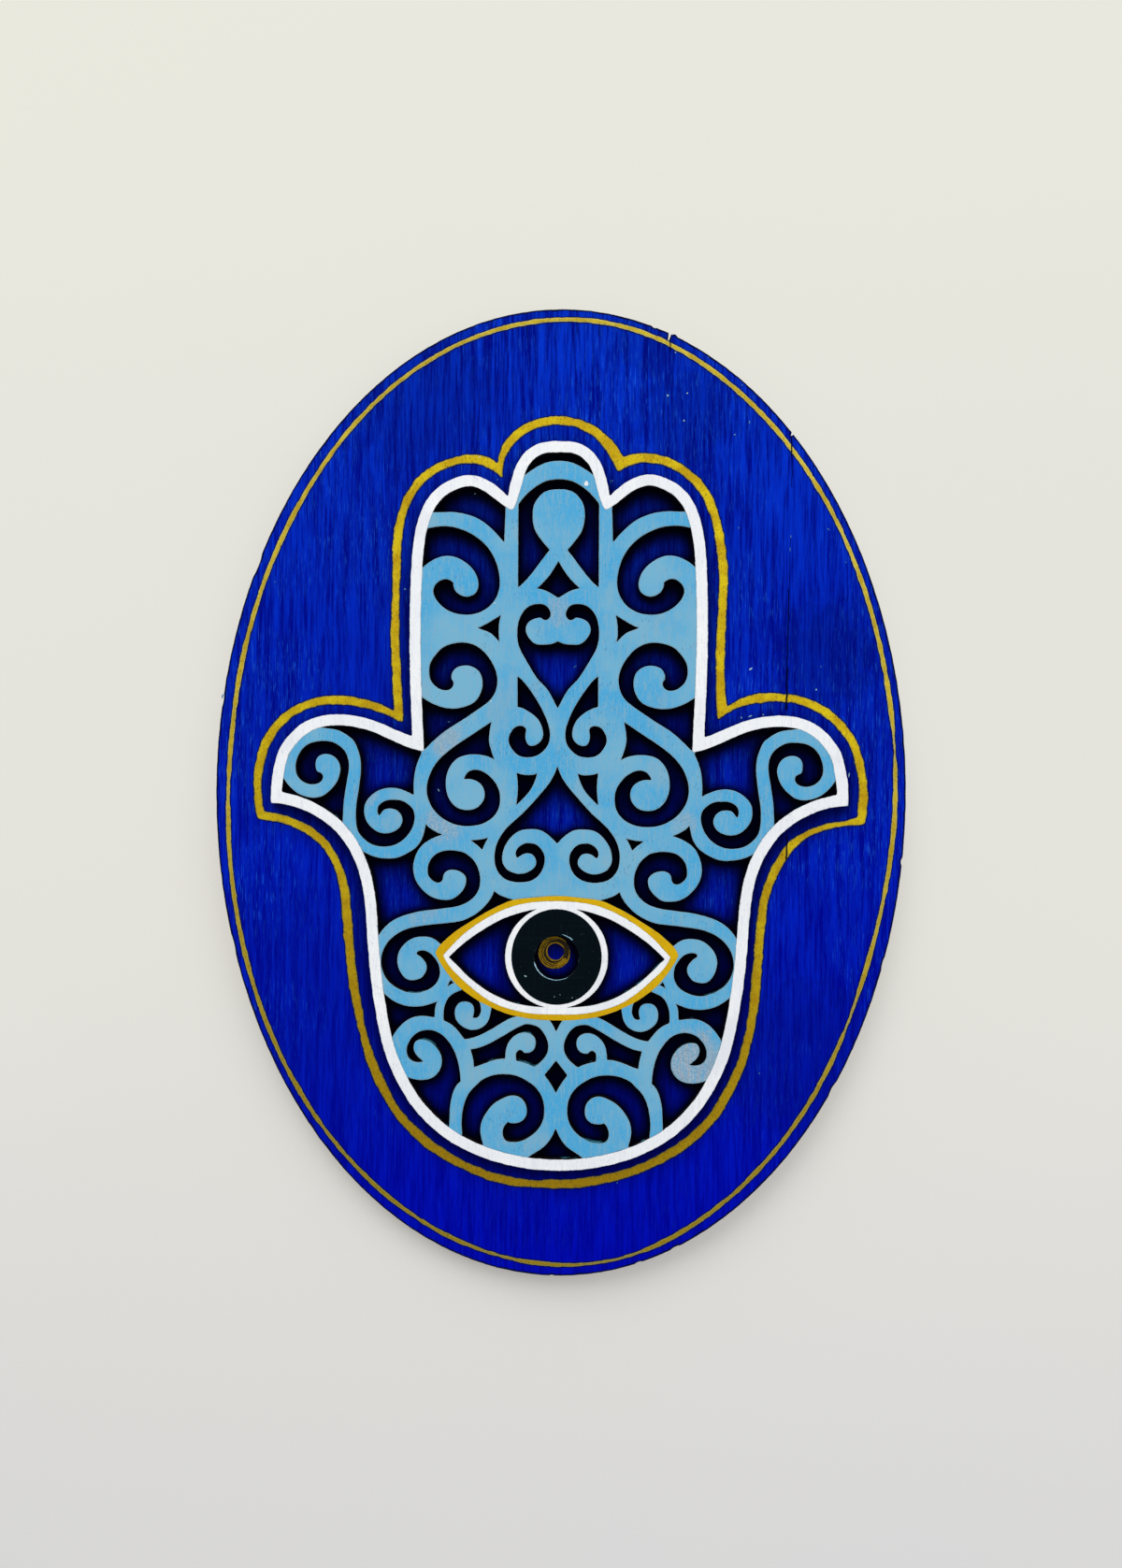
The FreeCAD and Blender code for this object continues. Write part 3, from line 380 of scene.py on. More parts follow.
def on_plane(pixel, y):
    """The point at depth y that the photograph shows at a pixel."""
    across = (pixel[0] - PHOTO_WIDTH / 2) / FOCAL_PIXELS
    down = (pixel[1] - PHOTO_HEIGHT / 2) / FOCAL_PIXELS
    ray = camera_turn() @ Vector((across, -down, -1))
    return CAMERA_PLACE + ray * (y - CAMERA_PLACE.y) / ray.y


class Shading:
    """Adds nodes to one material."""

    def __init__(self, name):
        self.material = bpy.data.materials.new(name)
        self.material.use_nodes = True
        self.tree = self.material.node_tree
        self.shader = self.tree.nodes["Principled BSDF"]
        self.place = self.add("ShaderNodeTexCoord").outputs["Object"]
        split = self.add("ShaderNodeSeparateXYZ")
        self.link(self.place, split.inputs[0])
        self.x, _, self.z = split.outputs
        facing = self.add("ShaderNodeSeparateXYZ")
        self.link(self.add("ShaderNodeNewGeometry").outputs["True Normal"], facing.inputs[0])
        self.facing_y, self.facing_z = facing.outputs[1:]

    def add(self, kind, **settings):
        node = self.tree.nodes.new(kind)
        for key, value in settings.items():
            setattr(node, key, value)
        return node

    def link(self, source, target):
        """Joins an output to an input, or sets the input to a number or colour."""
        if isinstance(source, bpy.types.NodeSocket):
            self.tree.links.new(source, target)
        else:
            target.default_value = source

    def math(self, operation, first, second=0.0, third=0.0, clamp=False):
        node = self.add("ShaderNodeMath", operation=operation, use_clamp=clamp)
        for value, socket in zip((first, second, third), node.inputs):
            self.link(value, socket)
        return node.outputs[0]

    def texture(self, kind, scale):
        """A texture with one scale, or with a scale of its own along each axis."""
        place = self.place
        if isinstance(scale, tuple):
            stretch = self.add("ShaderNodeMapping")
            self.link(place, stretch.inputs["Vector"])
            stretch.inputs["Scale"].default_value = scale
            place, scale = stretch.outputs[0], 1
        node = self.add(kind)
        self.link(place, node.inputs["Vector"])
        node.inputs["Scale"].default_value = scale
        return node

    def noise(self, scale, detail=3.0, roughness=0.5):
        node = self.texture("ShaderNodeTexNoise", scale)
        node.inputs["Detail"].default_value = detail
        node.inputs["Roughness"].default_value = roughness
        return node.outputs[0]

    def cells(self, scale):
        """Distance to the nearest of scattered points."""
        return self.texture("ShaderNodeTexVoronoi", scale).outputs["Distance"]

    def span(self, value, low, high, first=0.0, last=1.0, smooth=True):
        """Maps low..high to first..last, held outside it."""
        node = self.add("ShaderNodeMapRange", clamp=True)
        node.interpolation_type = "SMOOTHSTEP" if smooth else "LINEAR"
        for source, key in ((value, "Value"), (low, "From Min"), (high, "From Max"),
                            (first, "To Min"), (last, "To Max")):
            self.link(source, node.inputs[key])
        return node.outputs[0]

    def mix(self, share, first, second):
        node = self.add("ShaderNodeMix", data_type="RGBA")
        self.link(share, node.inputs["Factor"])
        self.link(first, node.inputs[6])
        self.link(second, node.inputs[7])
        return node.outputs[2]

    def blend(self, share, first, second):
        """Mixes two shaders."""
        node = self.add("ShaderNodeMixShader")
        for source, socket in zip((share, first, second), node.inputs):
            self.link(source, socket)
        return node.outputs[0]

    def over(self, under, paint, where, low, high, first=0.0, last=1.0):
        """Lays a colour over another, by first to last as a value goes from low to high."""
        return self.mix(self.span(where, low, high, first, last), under, paint)

    def product(self, first, second):
        return self.math("MULTIPLY", first, second)

    def weighed(self, first, second, share):
        """The first value by a share and the second by the rest."""
        return self.math("ADD", self.product(first, share), self.product(second, 1 - share))

    def sides(self, strength=1.0):
        """The strength on faces that look sideways, and 0 on the front and back."""
        return self.span(self.math("ABSOLUTE", self.facing_y), 0.3, 0.7, strength, 0)

    def openness(self, reach, towards):
        """How open the surface is towards a direction, 0 where something within the reach hides it."""
        node = self.add("ShaderNodeAmbientOcclusion", samples=8)
        node.inputs["Distance"].default_value = reach
        turned = self.add("ShaderNodeCombineXYZ")
        for value, socket in zip(towards, turned.inputs):
            socket.default_value = value
        self.link(turned.outputs[0], node.inputs["Normal"])
        return node.outputs["AO"]

    def patches(self, places, y):
        """Soft-edged patches, each at a photo pixel on the plane at depth y."""
        total = 0.0
        ragged = self.math("MULTIPLY_ADD", self.noise(260, 4, 0.65), 1.2, -0.6)
        flat = self.add("ShaderNodeCombineXYZ")
        self.link(self.x, flat.inputs[0])
        self.link(self.z, flat.inputs[2])
        for pixel, across, strength in places:
            middle = on_plane(pixel, y)
            off = self.add("ShaderNodeVectorMath", operation="DISTANCE")
            self.link(flat.outputs[0], off.inputs[0])
            off.inputs[1].default_value = (middle.x, 0, middle.z)
            part = self.math("ADD", self.math("DIVIDE", off.outputs["Value"], across / 2 * MM), ragged)
            total = self.math("MAXIMUM", total, self.span(part, 0.45, 1.0, strength, 0))
        return total

    def cracks(self):
        """1 in the board's cracks, which run along the grain."""
        total = 0.0
        wander = self.math("MULTIPLY_ADD", self.noise(400, 3), CRACK_WANDER, -CRACK_WANDER / 2)
        for first, last, width in CRACK_PIXELS:
            top = on_plane(first, BOARD_FACE_Y)
            end = on_plane(last, BOARD_FACE_Y)
            lean = (end.x - top.x) / (end.z - top.z)
            line = self.math("MULTIPLY_ADD", self.z, lean, top.x - top.z * lean)
            off = self.math("ABSOLUTE", self.math("SUBTRACT", self.x, self.math("ADD", line, wander)))
            across = self.span(off, width * 0.35, width * 0.7, 1, 0)
            above = self.span(self.z, end.z - MM, end.z, 0, 1)
            below = self.span(self.z, top.z, top.z + MM, 1, 0)
            total = self.math("MAXIMUM", total, self.product(across, self.product(above, below)))
        return total

    def bump(self, height, strength, distance, rounded=0.0):
        node = self.add("ShaderNodeBump")
        if rounded:
            soft = self.add("ShaderNodeBevel", samples=4)
            soft.inputs["Radius"].default_value = rounded
            self.link(soft.outputs[0], node.inputs["Normal"])
        node.inputs["Strength"].default_value = strength
        node.inputs["Distance"].default_value = distance
        self.link(height, node.inputs["Height"])
        self.link(node.outputs[0], self.shader.inputs["Normal"])

    def finish(self, colour, roughness, metallic=0.0, level=0.03):
        self.link(colour, self.shader.inputs["Base Color"])
        self.link(roughness, self.shader.inputs["Roughness"])
        self.shader.inputs["Metallic"].default_value = metallic
        self.shader.inputs["Specular IOR Level"].default_value = level
        return self.material


# Wood


def blue_board(name, beside=0.0):
    """Blue stain brushed down the grain, lighter above, deeper below, with painted shade near the fret,
    black where it is deepest.

    Beside the hand its lower half is darker as painted shade, where the rim shades it, and the painted
    shade by the fret is weaker.
    """
    s = Shading(name)
    low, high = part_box("board_face_ply")
    height = s.span(s.z, low.z, high.z, smooth=False)
    wander = s.noise(9, 2)
    streak = s.noise((1400, 1400, 66), 4, 0.65)
    broad = s.noise((420, 420, 22), 3, 0.55)
    fine = s.noise((3600, 3600, 190), 3, 0.6)
    mixed = s.weighed(streak, broad, 0.6)
    cracks = s.cracks()
    deep = s.mix(height, *STAIN_DEEP)
    bright = s.mix(height, *STAIN_BRIGHT)
    colour = s.mix(s.span(mixed, 0.4, 0.6), deep, bright)
    lit = s.product(s.span(fine, 0.55, 0.68), s.span(height, 0.08, 0.45, 0.06, 0.6))
    lit = s.product(lit, s.span(s.noise(38, 3), 0.36, 0.62, 0.15, 1.0))
    colour = s.mix(lit, colour, STAIN_LIT)
    colour = s.over(colour, STAIN_POOLED, wander, 0.45, 0.75, 0, 0.35)
    colour = s.mix(s.patches(STAIN_CLOUDS, BOARD_FACE_Y), colour, STAIN_CLOUDED)
    # Painted shade: beside the hand the stain is darker over its lower half, where the rim shades it.
    colour = s.over(colour, STAIN_PAINTED_SHADE_LOW, height, 0.3, 0.85, 0.25 * beside, 0)
    # Painted shade: darker over the fret's openings, black in its corners and under its upper edges, as if
    # lit from above.
    opening = s.openness(OPENING_REACH, OUTWARD)
    corner = s.span(s.openness(CORNER_REACH, OUTWARD), 0.5, 0.9, 0.95 - 0.85 * beside, 0)
    overhead = s.span(s.openness(OVERHEAD_REACH, OVERHEAD), 0.35, 0.8, 0.98 - 0.3 * beside, 0)
    colour = s.over(colour, STAIN_SHADED, opening, 0.55, 0.98, 0.85 - 0.7 * beside, 0)
    colour = s.mix(s.math("MAXIMUM", corner, overhead), colour, STAIN_PAINTED_SHADE_BLACK)
    colour = s.mix(s.product(cracks, 0.9), colour, STAIN_CRACKED)
    colour = s.mix(s.sides(), colour, s.mix(streak, *STAIN_SAWN))
    s.bump(s.math("SUBTRACT", s.weighed(streak, fine, 0.6), cracks), 0.35, 0.25 * MM)
    return s.finish(colour, s.span(mixed, 0.3, 0.7, 0.5, 0.66), level=0.01)


def bare_ply():
    """Pale rotary-cut veneer: tall grain figures, fine pores and a few small knots.

    The blue stain spilt a little over its rim, and its cut edges are charred.
    """
    s = Shading("bare_ply")
    low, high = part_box("board_back_ply")
    warp = s.noise((26, 26, 5), 3)
    across = s.math("ADD", s.product(s.x, 300.0), s.product(warp, 34.0))
    rings = s.math("ABSOLUTE", s.math("SINE", across))
    fibre = s.noise((2600, 2600, 70), 4, 0.65)
    pores = s.noise((4200, 4200, 260), 2)
    colour = s.mix(s.span(s.noise((30, 30, 8), 2), 0.35, 0.65), *VENEER)
    colour = s.over(colour, GROWTH_RING, rings, 0.75, 1.0, 0, 0.55)
    colour = s.over(colour, FIBRE, fibre, 0.5, 0.75, 0, 0.5)
    colour = s.over(colour, PORE, pores, 0.64, 0.74, 0, 0.6)
    colour = s.over(colour, KNOT, s.cells((19, 19, 9)), 0.03, 0.1, 0.8, 0)
    reach = (high - low) / 2
    middle = (high + low) / 2
    right = s.math("DIVIDE", s.math("SUBTRACT", s.x, middle.x), reach.x)
    up = s.math("DIVIDE", s.math("SUBTRACT", s.z, middle.z), reach.z)
    out = s.math("ADD", s.math("POWER", right, 2.0), s.math("POWER", up, 2.0))
    spilt = s.math("ADD", out, s.product(s.noise(120, 4, 0.6), 0.09))
    colour = s.over(colour, s.mix(fibre, *STAIN_SPILT), spilt, 1.015, 1.04, 0, 0.85)
    colour = s.mix(s.sides(), colour, s.mix(s.noise(700, 3), *CHAR))
    s.bump(s.weighed(fibre, pores, 0.6), 0.35, 0.2 * MM)
    return s.finish(colour, s.span(fibre, 0.3, 0.7, 0.6, 0.75), level=0.2)


def scorched_ply():
    """Fret edges blackened by the cut, with paint run over those that face up, and a primed front."""
    s = Shading("scorched_ply")
    bands = s.noise((60, 5000, 60), 2)
    lines = s.noise((1800, 60, 1800), 3, 0.6)
    colour = s.mix(s.span(bands, 0.35, 0.65), *SCORCH)
    colour = s.over(colour, SCORCH_LINE, lines, 0.5, 0.8, 0, 0.4)
    runs = s.product(s.span(s.facing_z, 0.5, 0.9), s.span(s.noise(130, 3, 0.6), 0.59, 0.66))
    colour = s.mix(runs, colour, PAINT_RUN)
    colour = s.over(colour, PRIMER, s.facing_y, -0.9, -0.7, 1, 0)
    s.bump(lines, 0.35, 0.15 * MM)
    return s.finish(colour, 0.8, level=0.04)


# Paint


def brushed_paint(name, pale, full, worn, specks, rubbed=()):
    """Satin hobby paint: streaked down by the brush, clouded, thin in places, with short dark flecks."""
    s = Shading(name)
    clouds = s.noise(48, 3, 0.55)
    brush = s.noise((2300, 2300, 240), 4, 0.65)
    grain = s.noise(2300, 2, 0.6)
    colour = s.mix(s.span(clouds, 0.36, 0.66), full, pale)
    colour = s.over(colour, worn, brush, 0.48, 0.68, 0, 0.7)
    colour = s.over(colour, worn, grain, 0.48, 0.7, 0, 0.5)
    colour = s.over(colour, worn, s.noise((90, 90, 40), 3, 0.6), 0.56, 0.68, 0, 0.5)
    flecks = s.span(s.cells((1500, 1500, 520)), 0.14, 0.3, 1, 0)
    gathered = s.span(s.noise(110, 2), 0.48, 0.66)
    colour = s.mix(s.product(s.product(flecks, gathered), 0.5), colour, specks)
    if rubbed:
        bare = s.mix(s.span(grain, 0.35, 0.65), *RUBBED)
        thinned = s.product(s.patches(rubbed, FRET_FACE_Y), s.span(brush, 0.3, 0.6, 0.3, 1.0))
        colour = s.mix(thinned, colour, bare)
    colour = s.mix(s.sides(0.4), colour, COAT_SIDE)
    s.bump(s.weighed(grain, brush, 0.3), 0.45, 0.12 * MM, rounded=0.3 * MM)
    return s.finish(colour, s.span(clouds, 0.3, 0.7, 0.38, 0.52))


def gold_paint(name, bright, dull, shade):
    """Paint-pen gold: fine metal grain, dark flecks where the wood shows, and painted shade that makes it
    duller lower down and towards the left.
    """
    s = Shading(name)
    low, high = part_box("board_face_ply")
    height = s.span(s.z, low.z, high.z, smooth=False)
    # Painted shade: the gold duller lower down and towards the left, where less light falls on it.
    right = s.span(s.x, low.x, high.x, 0.22, 0)
    lower = s.math("ADD", s.span(height, 0.02, 0.66, 0.9, 0), right, clamp=True)
    grain = s.noise(4200, 2, 0.7)
    pool = s.noise(170, 3, 0.6)
    missed = s.noise((2600, 2600, 800), 4, 0.7)
    colour = s.mix(s.span(pool, 0.35, 0.7), bright, dull)
    colour = s.over(colour, shade, grain, 0.4, 0.7, 0, 0.4)
    colour = s.over(colour, dull, s.noise(30, 2), 0.45, 0.7, 0, 0.4)
    colour = s.over(colour, shade, missed, 0.56, 0.66, 0, 0.8)
    colour = s.over(colour, shade, s.cells((900, 900, 700)), 0.08, 0.16, 0.8, 0)
    colour = s.mix(lower, colour, s.mix(s.span(missed, 0.42, 0.7, 0.5, 0.85), dull, shade))
    colour = s.mix(s.cracks(), colour, GOLD_CRACKED)
    s.bump(s.weighed(grain, pool, 0.5), 0.45, 0.08 * MM, rounded=0.15 * MM)
    return s.finish(colour, s.span(grain, 0.3, 0.7, 0.4, 0.6), metallic=0.1, level=0.1)


def iris_paint():
    """Blue-black satin paint with a faint canvas-like crossing of brush strokes."""
    s = Shading("black_paint")
    weave = s.math("MAXIMUM", s.noise((90, 1, 2200), 2), s.noise((2200, 1, 90), 2))
    colour = s.mix(s.span(weave, 0.5, 0.72), *IRIS)
    colour = s.over(colour, IRIS_DOT, s.cells(560), 0.05, 0.1, 0.5, 0)
    s.bump(weave, 0.15, 0.1 * MM)
    return s.finish(colour, s.span(weave, 0.4, 0.7, 0.4, 0.5))


# Metal and rubber


def plated_metal(name, colour, dark, roughness):
    """Thin bright plating, softly clouded, with fine rolling scratches along it."""
    s = Shading(name)
    scratches = s.noise((60, 900, 3200), 4, 0.6)
    colour = s.over(colour, dark, s.noise(210, 4, 0.6), 0.4, 0.75)
    s.bump(scratches, 0.25, 0.05 * MM)
    return s.finish(colour, s.span(scratches, 0.3, 0.7, roughness, roughness + 0.18), metallic=1.0)


def pad_rubber():
    """Milky soft bumper with a little dust on it."""
    s = Shading("pad_rubber")
    cloud = s.noise(500, 3)
    colour = s.mix(s.span(cloud, 0.35, 0.7), *PAD)
    colour = s.over(colour, DUST, s.cells(1800), 0.1, 0.22, 0.4, 0)
    s.bump(cloud, 0.15, 0.05 * MM)
    s.shader.inputs["Transmission Weight"].default_value = 0.15
    return s.finish(colour, 0.45)


# Finishes


def dress(names, material):
    """Gives CAD nodes one finish."""
    for name in names:
        mesh = nodes[name].data
        for number in range(len(mesh.materials)):
            mesh.materials[number] = material
        if not mesh.materials:
            mesh.materials.append(material)


def board_finish():
    """The board's sawn plies, the band beside the hand with its painted shade, and the charred rim."""
    sawn("board_face_sawn", "board_face_ply", blue_board("blue_stained_ply"))
    inner = min(front_loops("hand_gold_line"), key=width_of)
    outline = max(front_loops("rim_paint"), key=width_of)
    # The band beside the hand: the same stain, with painted shade low down and weaker painted shade by the
    # fret.
    stain = blue_board("band_stained_ply_painted_shade", 1.0)
    band = [wobbled(inner, 0, inset=BAND_INSET), outline]
    film = BOARD_FACE_Y - FILM
    coat("board_band_stain_and_painted_shade", band, BOARD_FACE_Y, film, stain)
    rim = sawn_edge("board_face_ply")
    charred = brushed_paint("charred_rim", *CHARRED_RIM)
    ring = [rim, wobbled(rim, CHAR_SWAY, inset=CHAR_WIDTH)]
    coat("board_face_char", ring, BOARD_FACE_Y, film, charred)
    ply = bare_ply()
    sawn("board_core_sawn", "board_core_ply", ply)
    sawn("board_back_sawn", "board_back_ply", ply)


def gold_lines():
    """Each gold line: a dark ground, a pale edge, and a bright stroke inside it."""
    hand = (gold_paint("line_gold", *LINE_GOLD), gold_paint("line_edge_gold", *LINE_EDGE_GOLD))
    oval = (gold_paint("oval_gold", *OVAL_GOLD), gold_paint("oval_edge_gold", *OVAL_EDGE_GOLD))
    ground = brushed_paint("line_ground_paint", *LINE_GROUND)
    for (name, sway, inset, uneven, width), (bright, edge) in zip(LINE_STROKES, (hand, oval)):
        for part, material, slot, further, below in (
            ("ground", ground, "blue_stained_ply", -GROUND_REACH, GROUND_BELOW),
            ("edge", edge, "gold_paint", 0, EDGE_BELOW),
            ("stroke", bright, "gold_paint", width, 0),
        ):
            painted(f"{name}_line_{part}", f"{name}_gold_line", material, slot, sway,
                    inset + further, below, LINE_EASE, uneven)


def finishes():
    board_finish()
    dress(("hand_face_ply", "hand_core_ply", "hand_back_ply"), scorched_ply())
    white = brushed_paint("white_paint", *WHITE_PAINT)
    painted("rim_brushwork", "rim_paint", white, "white_paint", **RIM_BRUSH)
    painted("eye_brushwork", "eye_white_paint", white, "white_paint", **EYE_BRUSH)
    thin_blue = brushed_paint("thin_blue_paint", *THIN_BLUE)
    light_blue = brushed_paint("light_blue_paint", *LIGHT_BLUE, RUBBED_PATCHES)
    painted("scroll_first_coat", "scroll_paint", thin_blue, "light_blue_paint", **SCROLL_FIRST_BRUSH)
    painted("scroll_brushwork", "scroll_paint", light_blue, "light_blue_paint", **SCROLL_BRUSH)
    painted("iris_brushwork", "iris_paint", iris_paint(), "black_paint", **IRIS_BRUSH)
    eye_gold = gold_paint("eye_gold", *EYE_GOLD)
    painted("eye_gold_brushwork", "eye_gold_paint", eye_gold, "gold_paint", **EYE_GOLD_BRUSH)
    gold_lines()
    pupil_ring(gold_paint("ring_gold", *RING_GOLD), gold_paint("ring_wash", *RING_WASH))
    marks(white, brushed_paint("faint_blue_paint", *FAINT_BLUE), thin_blue)
    dress(("sawtooth_hanger",), plated_metal("hanger_steel", *HANGER_STEEL))
    dress(("hanger_nails",), plated_metal("nail_steel", *NAIL_STEEL))
    dress(("wall_pads",), pad_rubber())


# Brushwork


def front_loops(node):
    """The closed outlines, in x and z, of a CAD node's front face."""
    mesh = nodes[node].data
    places = {}
    following = {}
    edges = set()
    for polygon in mesh.polygons:
        if polygon.normal.y > FRONT_FACING:
            continue
        keys = []
        for index in polygon.vertices:
            point = mesh.vertices[index].co
            key = (round(point.x / MM, SAME_POINT_DECIMALS), round(point.z / MM, SAME_POINT_DECIMALS))
            places[key] = (point.x, point.z)
            keys.append(key)
        edges.update(zip(keys, keys[1:] + keys[:1]))
    for first, last in sorted(edges):
        if (last, first) not in edges:
            following.setdefault(first, []).append(last)
    loops = []
    while following:
        start = min(following)
        loop = [start]
        while True:
            ends = following[loop[-1]]
            step = ends.pop()
            if not ends:
                del following[loop[-1]]
            if step == start:
                break
            loop.append(step)
        loops.append([places[key] for key in loop])
    return loops


def width_of(loop):
    return max(x for x, z in loop) - min(x for x, z in loop)


def thinning(point):
    """How far a pen stroke draws in at a point because the pen ran thin there."""
    total = 0.0
    for pixel, across, depth in THIN_STROKES:
        off = (point - on_plane(pixel, BOARD_FACE_Y).xz).length / (across / 2 * MM)
        if off < 1:
            total += depth * MM * (0.5 + 0.5 * math.cos(math.pi * off))
    return total


def wobbled(loop, sway, ease=0, inset=0.0, step=0.4 * MM, uneven=0.0):
    """The loop with more points, eased corners, drawn in by an inset and moved across by a smooth sway.

    An uneven stroke is thicker and thinner over longer stretches, alike on both its sides.
    """
    points = []
    for number, first in enumerate(loop):
        last = loop[(number + 1) % len(loop)]
        first, last = Vector(first), Vector(last)
        count = max(1, math.ceil((last - first).length / step))
        points += [first.lerp(last, part / count) for part in range(count)]
    for _ in range(ease):
        points = [(points[number - 1] + 2 * point + points[(number + 1) % len(points)]) / 4
                  for number, point in enumerate(points)]
    moved = []
    for number, point in enumerate(points):
        along = points[(number + 1) % len(points)] - points[number - 1]
        across = Vector((along.y, -along.x)).normalized()
        place = Vector((point.x, point.y, 0)) / MM
        slow, quick = noise.noise(place * SLOW_SWAY), noise.noise(place * QUICK_SWAY)
        shift = SLOW_SHARE * slow + (1 - SLOW_SHARE) * quick
        swell = noise.noise(place * SWELL_PACE + SWELL_FROM) * uneven
        if uneven:
            swell += thinning(point)
        moved.append(point + across * (shift * sway - inset - min(swell, MOST_SWELL)))
    return moved


def filled(loops):
    """The points and triangles that fill the loops: one crossing in is inside, two is a hole."""
    points = []
    edges = []
    for loop in loops:
        first = len(points)
        points += [Vector(point) for point in loop]
        edges += [(first + number, first + (number + 1) % len(loop)) for number in range(len(loop))]
    flat, links, triangles, _, sources, _ = delaunay_2d_cdt(points, edges, [], 0, SAME_POINT)
    crossing = {frozenset(link): len(source) % 2 for link, source in zip(links, sources)}
    beside = {}
    for number, face in enumerate(triangles):
        for corner, first in enumerate(face):
            beside.setdefault(frozenset((first, face[corner - 1])), []).append(number)
    within = {}
    waiting = [(faces[0], crossing[link]) for link, faces in beside.items() if len(faces) == 1]
    while waiting:
        number, state = waiting.pop()
        if number in within:
            continue
        within[number] = state
        face = triangles[number]
        for corner, first in enumerate(face):
            link = frozenset((first, face[corner - 1]))
            waiting += [(other, state ^ crossing[link]) for other in beside[link] if other != number]
    return flat, [list(face) for number, face in enumerate(triangles) if within[number]]


def coat(name, loops, back, front, material):
    """A closed coat of paint between depths back and front, filled within the loops."""
    flat, triangles = filled(loops)
    count = len(flat)
    vertices = [(x, front, z) for x, z in flat] + [(x, back, z) for x, z in flat]
    edges = set()
    for face in triangles:
        edges.update(zip(face, face[1:] + face[:1]))
    faces = triangles + [[index + count for index in reversed(face)] for face in triangles]
    faces += [[last, first, first + count, last + count] for first, last in sorted(edges)
              if (last, first) not in edges]
    mesh = bpy.data.meshes.new(name)
    mesh.from_pydata(vertices, [], faces)
    mesh.materials.append(material)
    piece = bpy.data.objects.new(name, mesh)
    bpy.context.scene.collection.objects.link(piece)
    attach(piece, "root")
    return piece


def painted(name, node, material, slot, sway, inset=0.0, below=0.0, ease=0, uneven=0.0):
    """A hand-painted coat in a CAD node's place, inset from its outline and below its front."""
    low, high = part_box(node)
    loops = [wobbled(loop, sway, ease, inset, uneven=uneven) for loop in front_loops(node)]
    if node == "oval_gold_line":
        loops = [[drifted(point) for point in loop] for loop in loops]
    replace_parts(coat(name, loops, high.y, low.y + below, material), node)


def drifted(point):
    """A point of the oval line, which the hand drew a little too far left over its lower half."""
    top, end = (on_plane((0, row), BOARD_FACE_Y).z for row in DRIFT_ROWS)
    part = min(1, max(0, (top - point.y) / (top - end)))
    return Vector((point.x - DRIFT * math.sin(math.pi * part), point.y))


def sawn_edge(node):
    """The outline of a board ply, sawn a little unevenly and chipped."""
    low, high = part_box(node)
    middle = ((low + high) / 2).xz
    chips = [(on_plane(pixel, BOARD_FACE_Y).xz, reach * MM, depth * MM) for pixel, reach, depth in CHIPS]
    points = []
    for point in wobbled(front_loops(node)[0], SAW_SWAY, inset=SAW_INSET, step=SAW_STEP):
        for place, reach, depth in chips:
            near = abs((point - place).cross((place - middle).normalized())) / reach
            if near < 1 and (point - place).length < 3 * reach + abs(depth):
                point = point + (middle - point).normalized() * depth * (1 - near * near)
        points.append(point)
    return points


def sawn(name, node, material):
    low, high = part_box(node)
    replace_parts(coat(name, [sawn_edge(node)], high.y, low.y, material), node)


def stroke(centre, radii, widths, start, turns, count=90):
    """The outline of one round brush stroke, anticlockwise from a start angle, thinning at its ends."""
    sides = ([], [])
    for number in range(count + 1):
        part = number / count
        angle = math.radians(start) + part * turns * 2 * math.pi
        place = Vector((math.cos(angle), math.sin(angle), part * 3 + start)) * WANDER_PACE
        radius = radii[0] + (radii[1] - radii[0]) * part + STROKE_WANDER * noise.noise(place)
        half = (widths[0] + (widths[1] - widths[0]) * part) / 2
        ends = min(1, 10 * part + 0.25, 10 * (1 - part) + 0.15)
        half *= (1 + 0.5 * noise.noise(place * STROKE_PACE)) * ends
        for side, offset in zip(sides, (half, -half)):
            side.append((centre.x + (radius + offset) * math.cos(angle),
                         centre.y + (radius + offset) * math.sin(angle)))
    return sides[0] + sides[1][::-1]


def circle(centre, radius, count=90):
    angles = (2 * math.pi * number / count for number in range(count))
    return [(centre.x + radius * math.cos(angle), centre.y + radius * math.sin(angle)) for angle in angles]


def pupil_ring(gold, wash):
    """The ring behind the pupil: a dark wash with thin gold strokes round it and one fat one below."""
    outer = (PUPIL_HIGH.x - PUPIL_LOW.x) / 2
    inner = outer * RING_HOLE_SHARE
    centre = ((PUPIL_LOW + PUPIL_HIGH) / 2).xz
    hole = centre + Vector((RING_HOLE_RIGHT, RING_HOLE_UP))
    back, front = PUPIL_HIGH.y, PUPIL_LOW.y
    ground = [wobbled(circle(centre, outer * RING_WASH_SHARE), RING_WASH_SWAY),
              wobbled(circle(hole, inner), RING_HOLE_SWAY)]
    washed = coat("pupil_ring_wash", ground, back, front + EDGE_BELOW, wash)
    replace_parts(washed, "pupil_gold_ring")
    rounds = {"ring": (centre, outer), "hole": (hole, inner)}
    for number, (name, shares, widths, start, turns) in enumerate(RING_STROKES):
        middle, radius = rounds[name]
        radii = [share * radius for share in shares]
        loops = [stroke(middle, radii, [width * MM for width in widths], start, turns)]
        piece = coat(f"pupil_ring_stroke_{number + 1}", loops, back, front, gold)
        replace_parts(piece, "pupil_gold_ring")


def blot(pixel, y, across, along, lean):
    """The ragged outline of a small mark at a photo pixel, its long side leaning from upright."""
    centre = on_plane(pixel, y)
    turn = math.radians(lean)
    outline = []
    for number in range(BLOT_POINTS):
        angle = 2 * math.pi * number / BLOT_POINTS
        place = Vector((math.cos(angle) * BLOT_PACE, math.sin(angle) * BLOT_PACE, pixel[0] * 0.7))
        reach = 1 + BLOT_RAGGED * noise.noise(place)
        x, z = across / 2 * reach * math.cos(angle), along / 2 * reach * math.sin(angle)
        outline.append((centre.x + x * math.cos(turn) + z * math.sin(turn),
                        centre.z - x * math.sin(turn) + z * math.cos(turn)))
    return outline


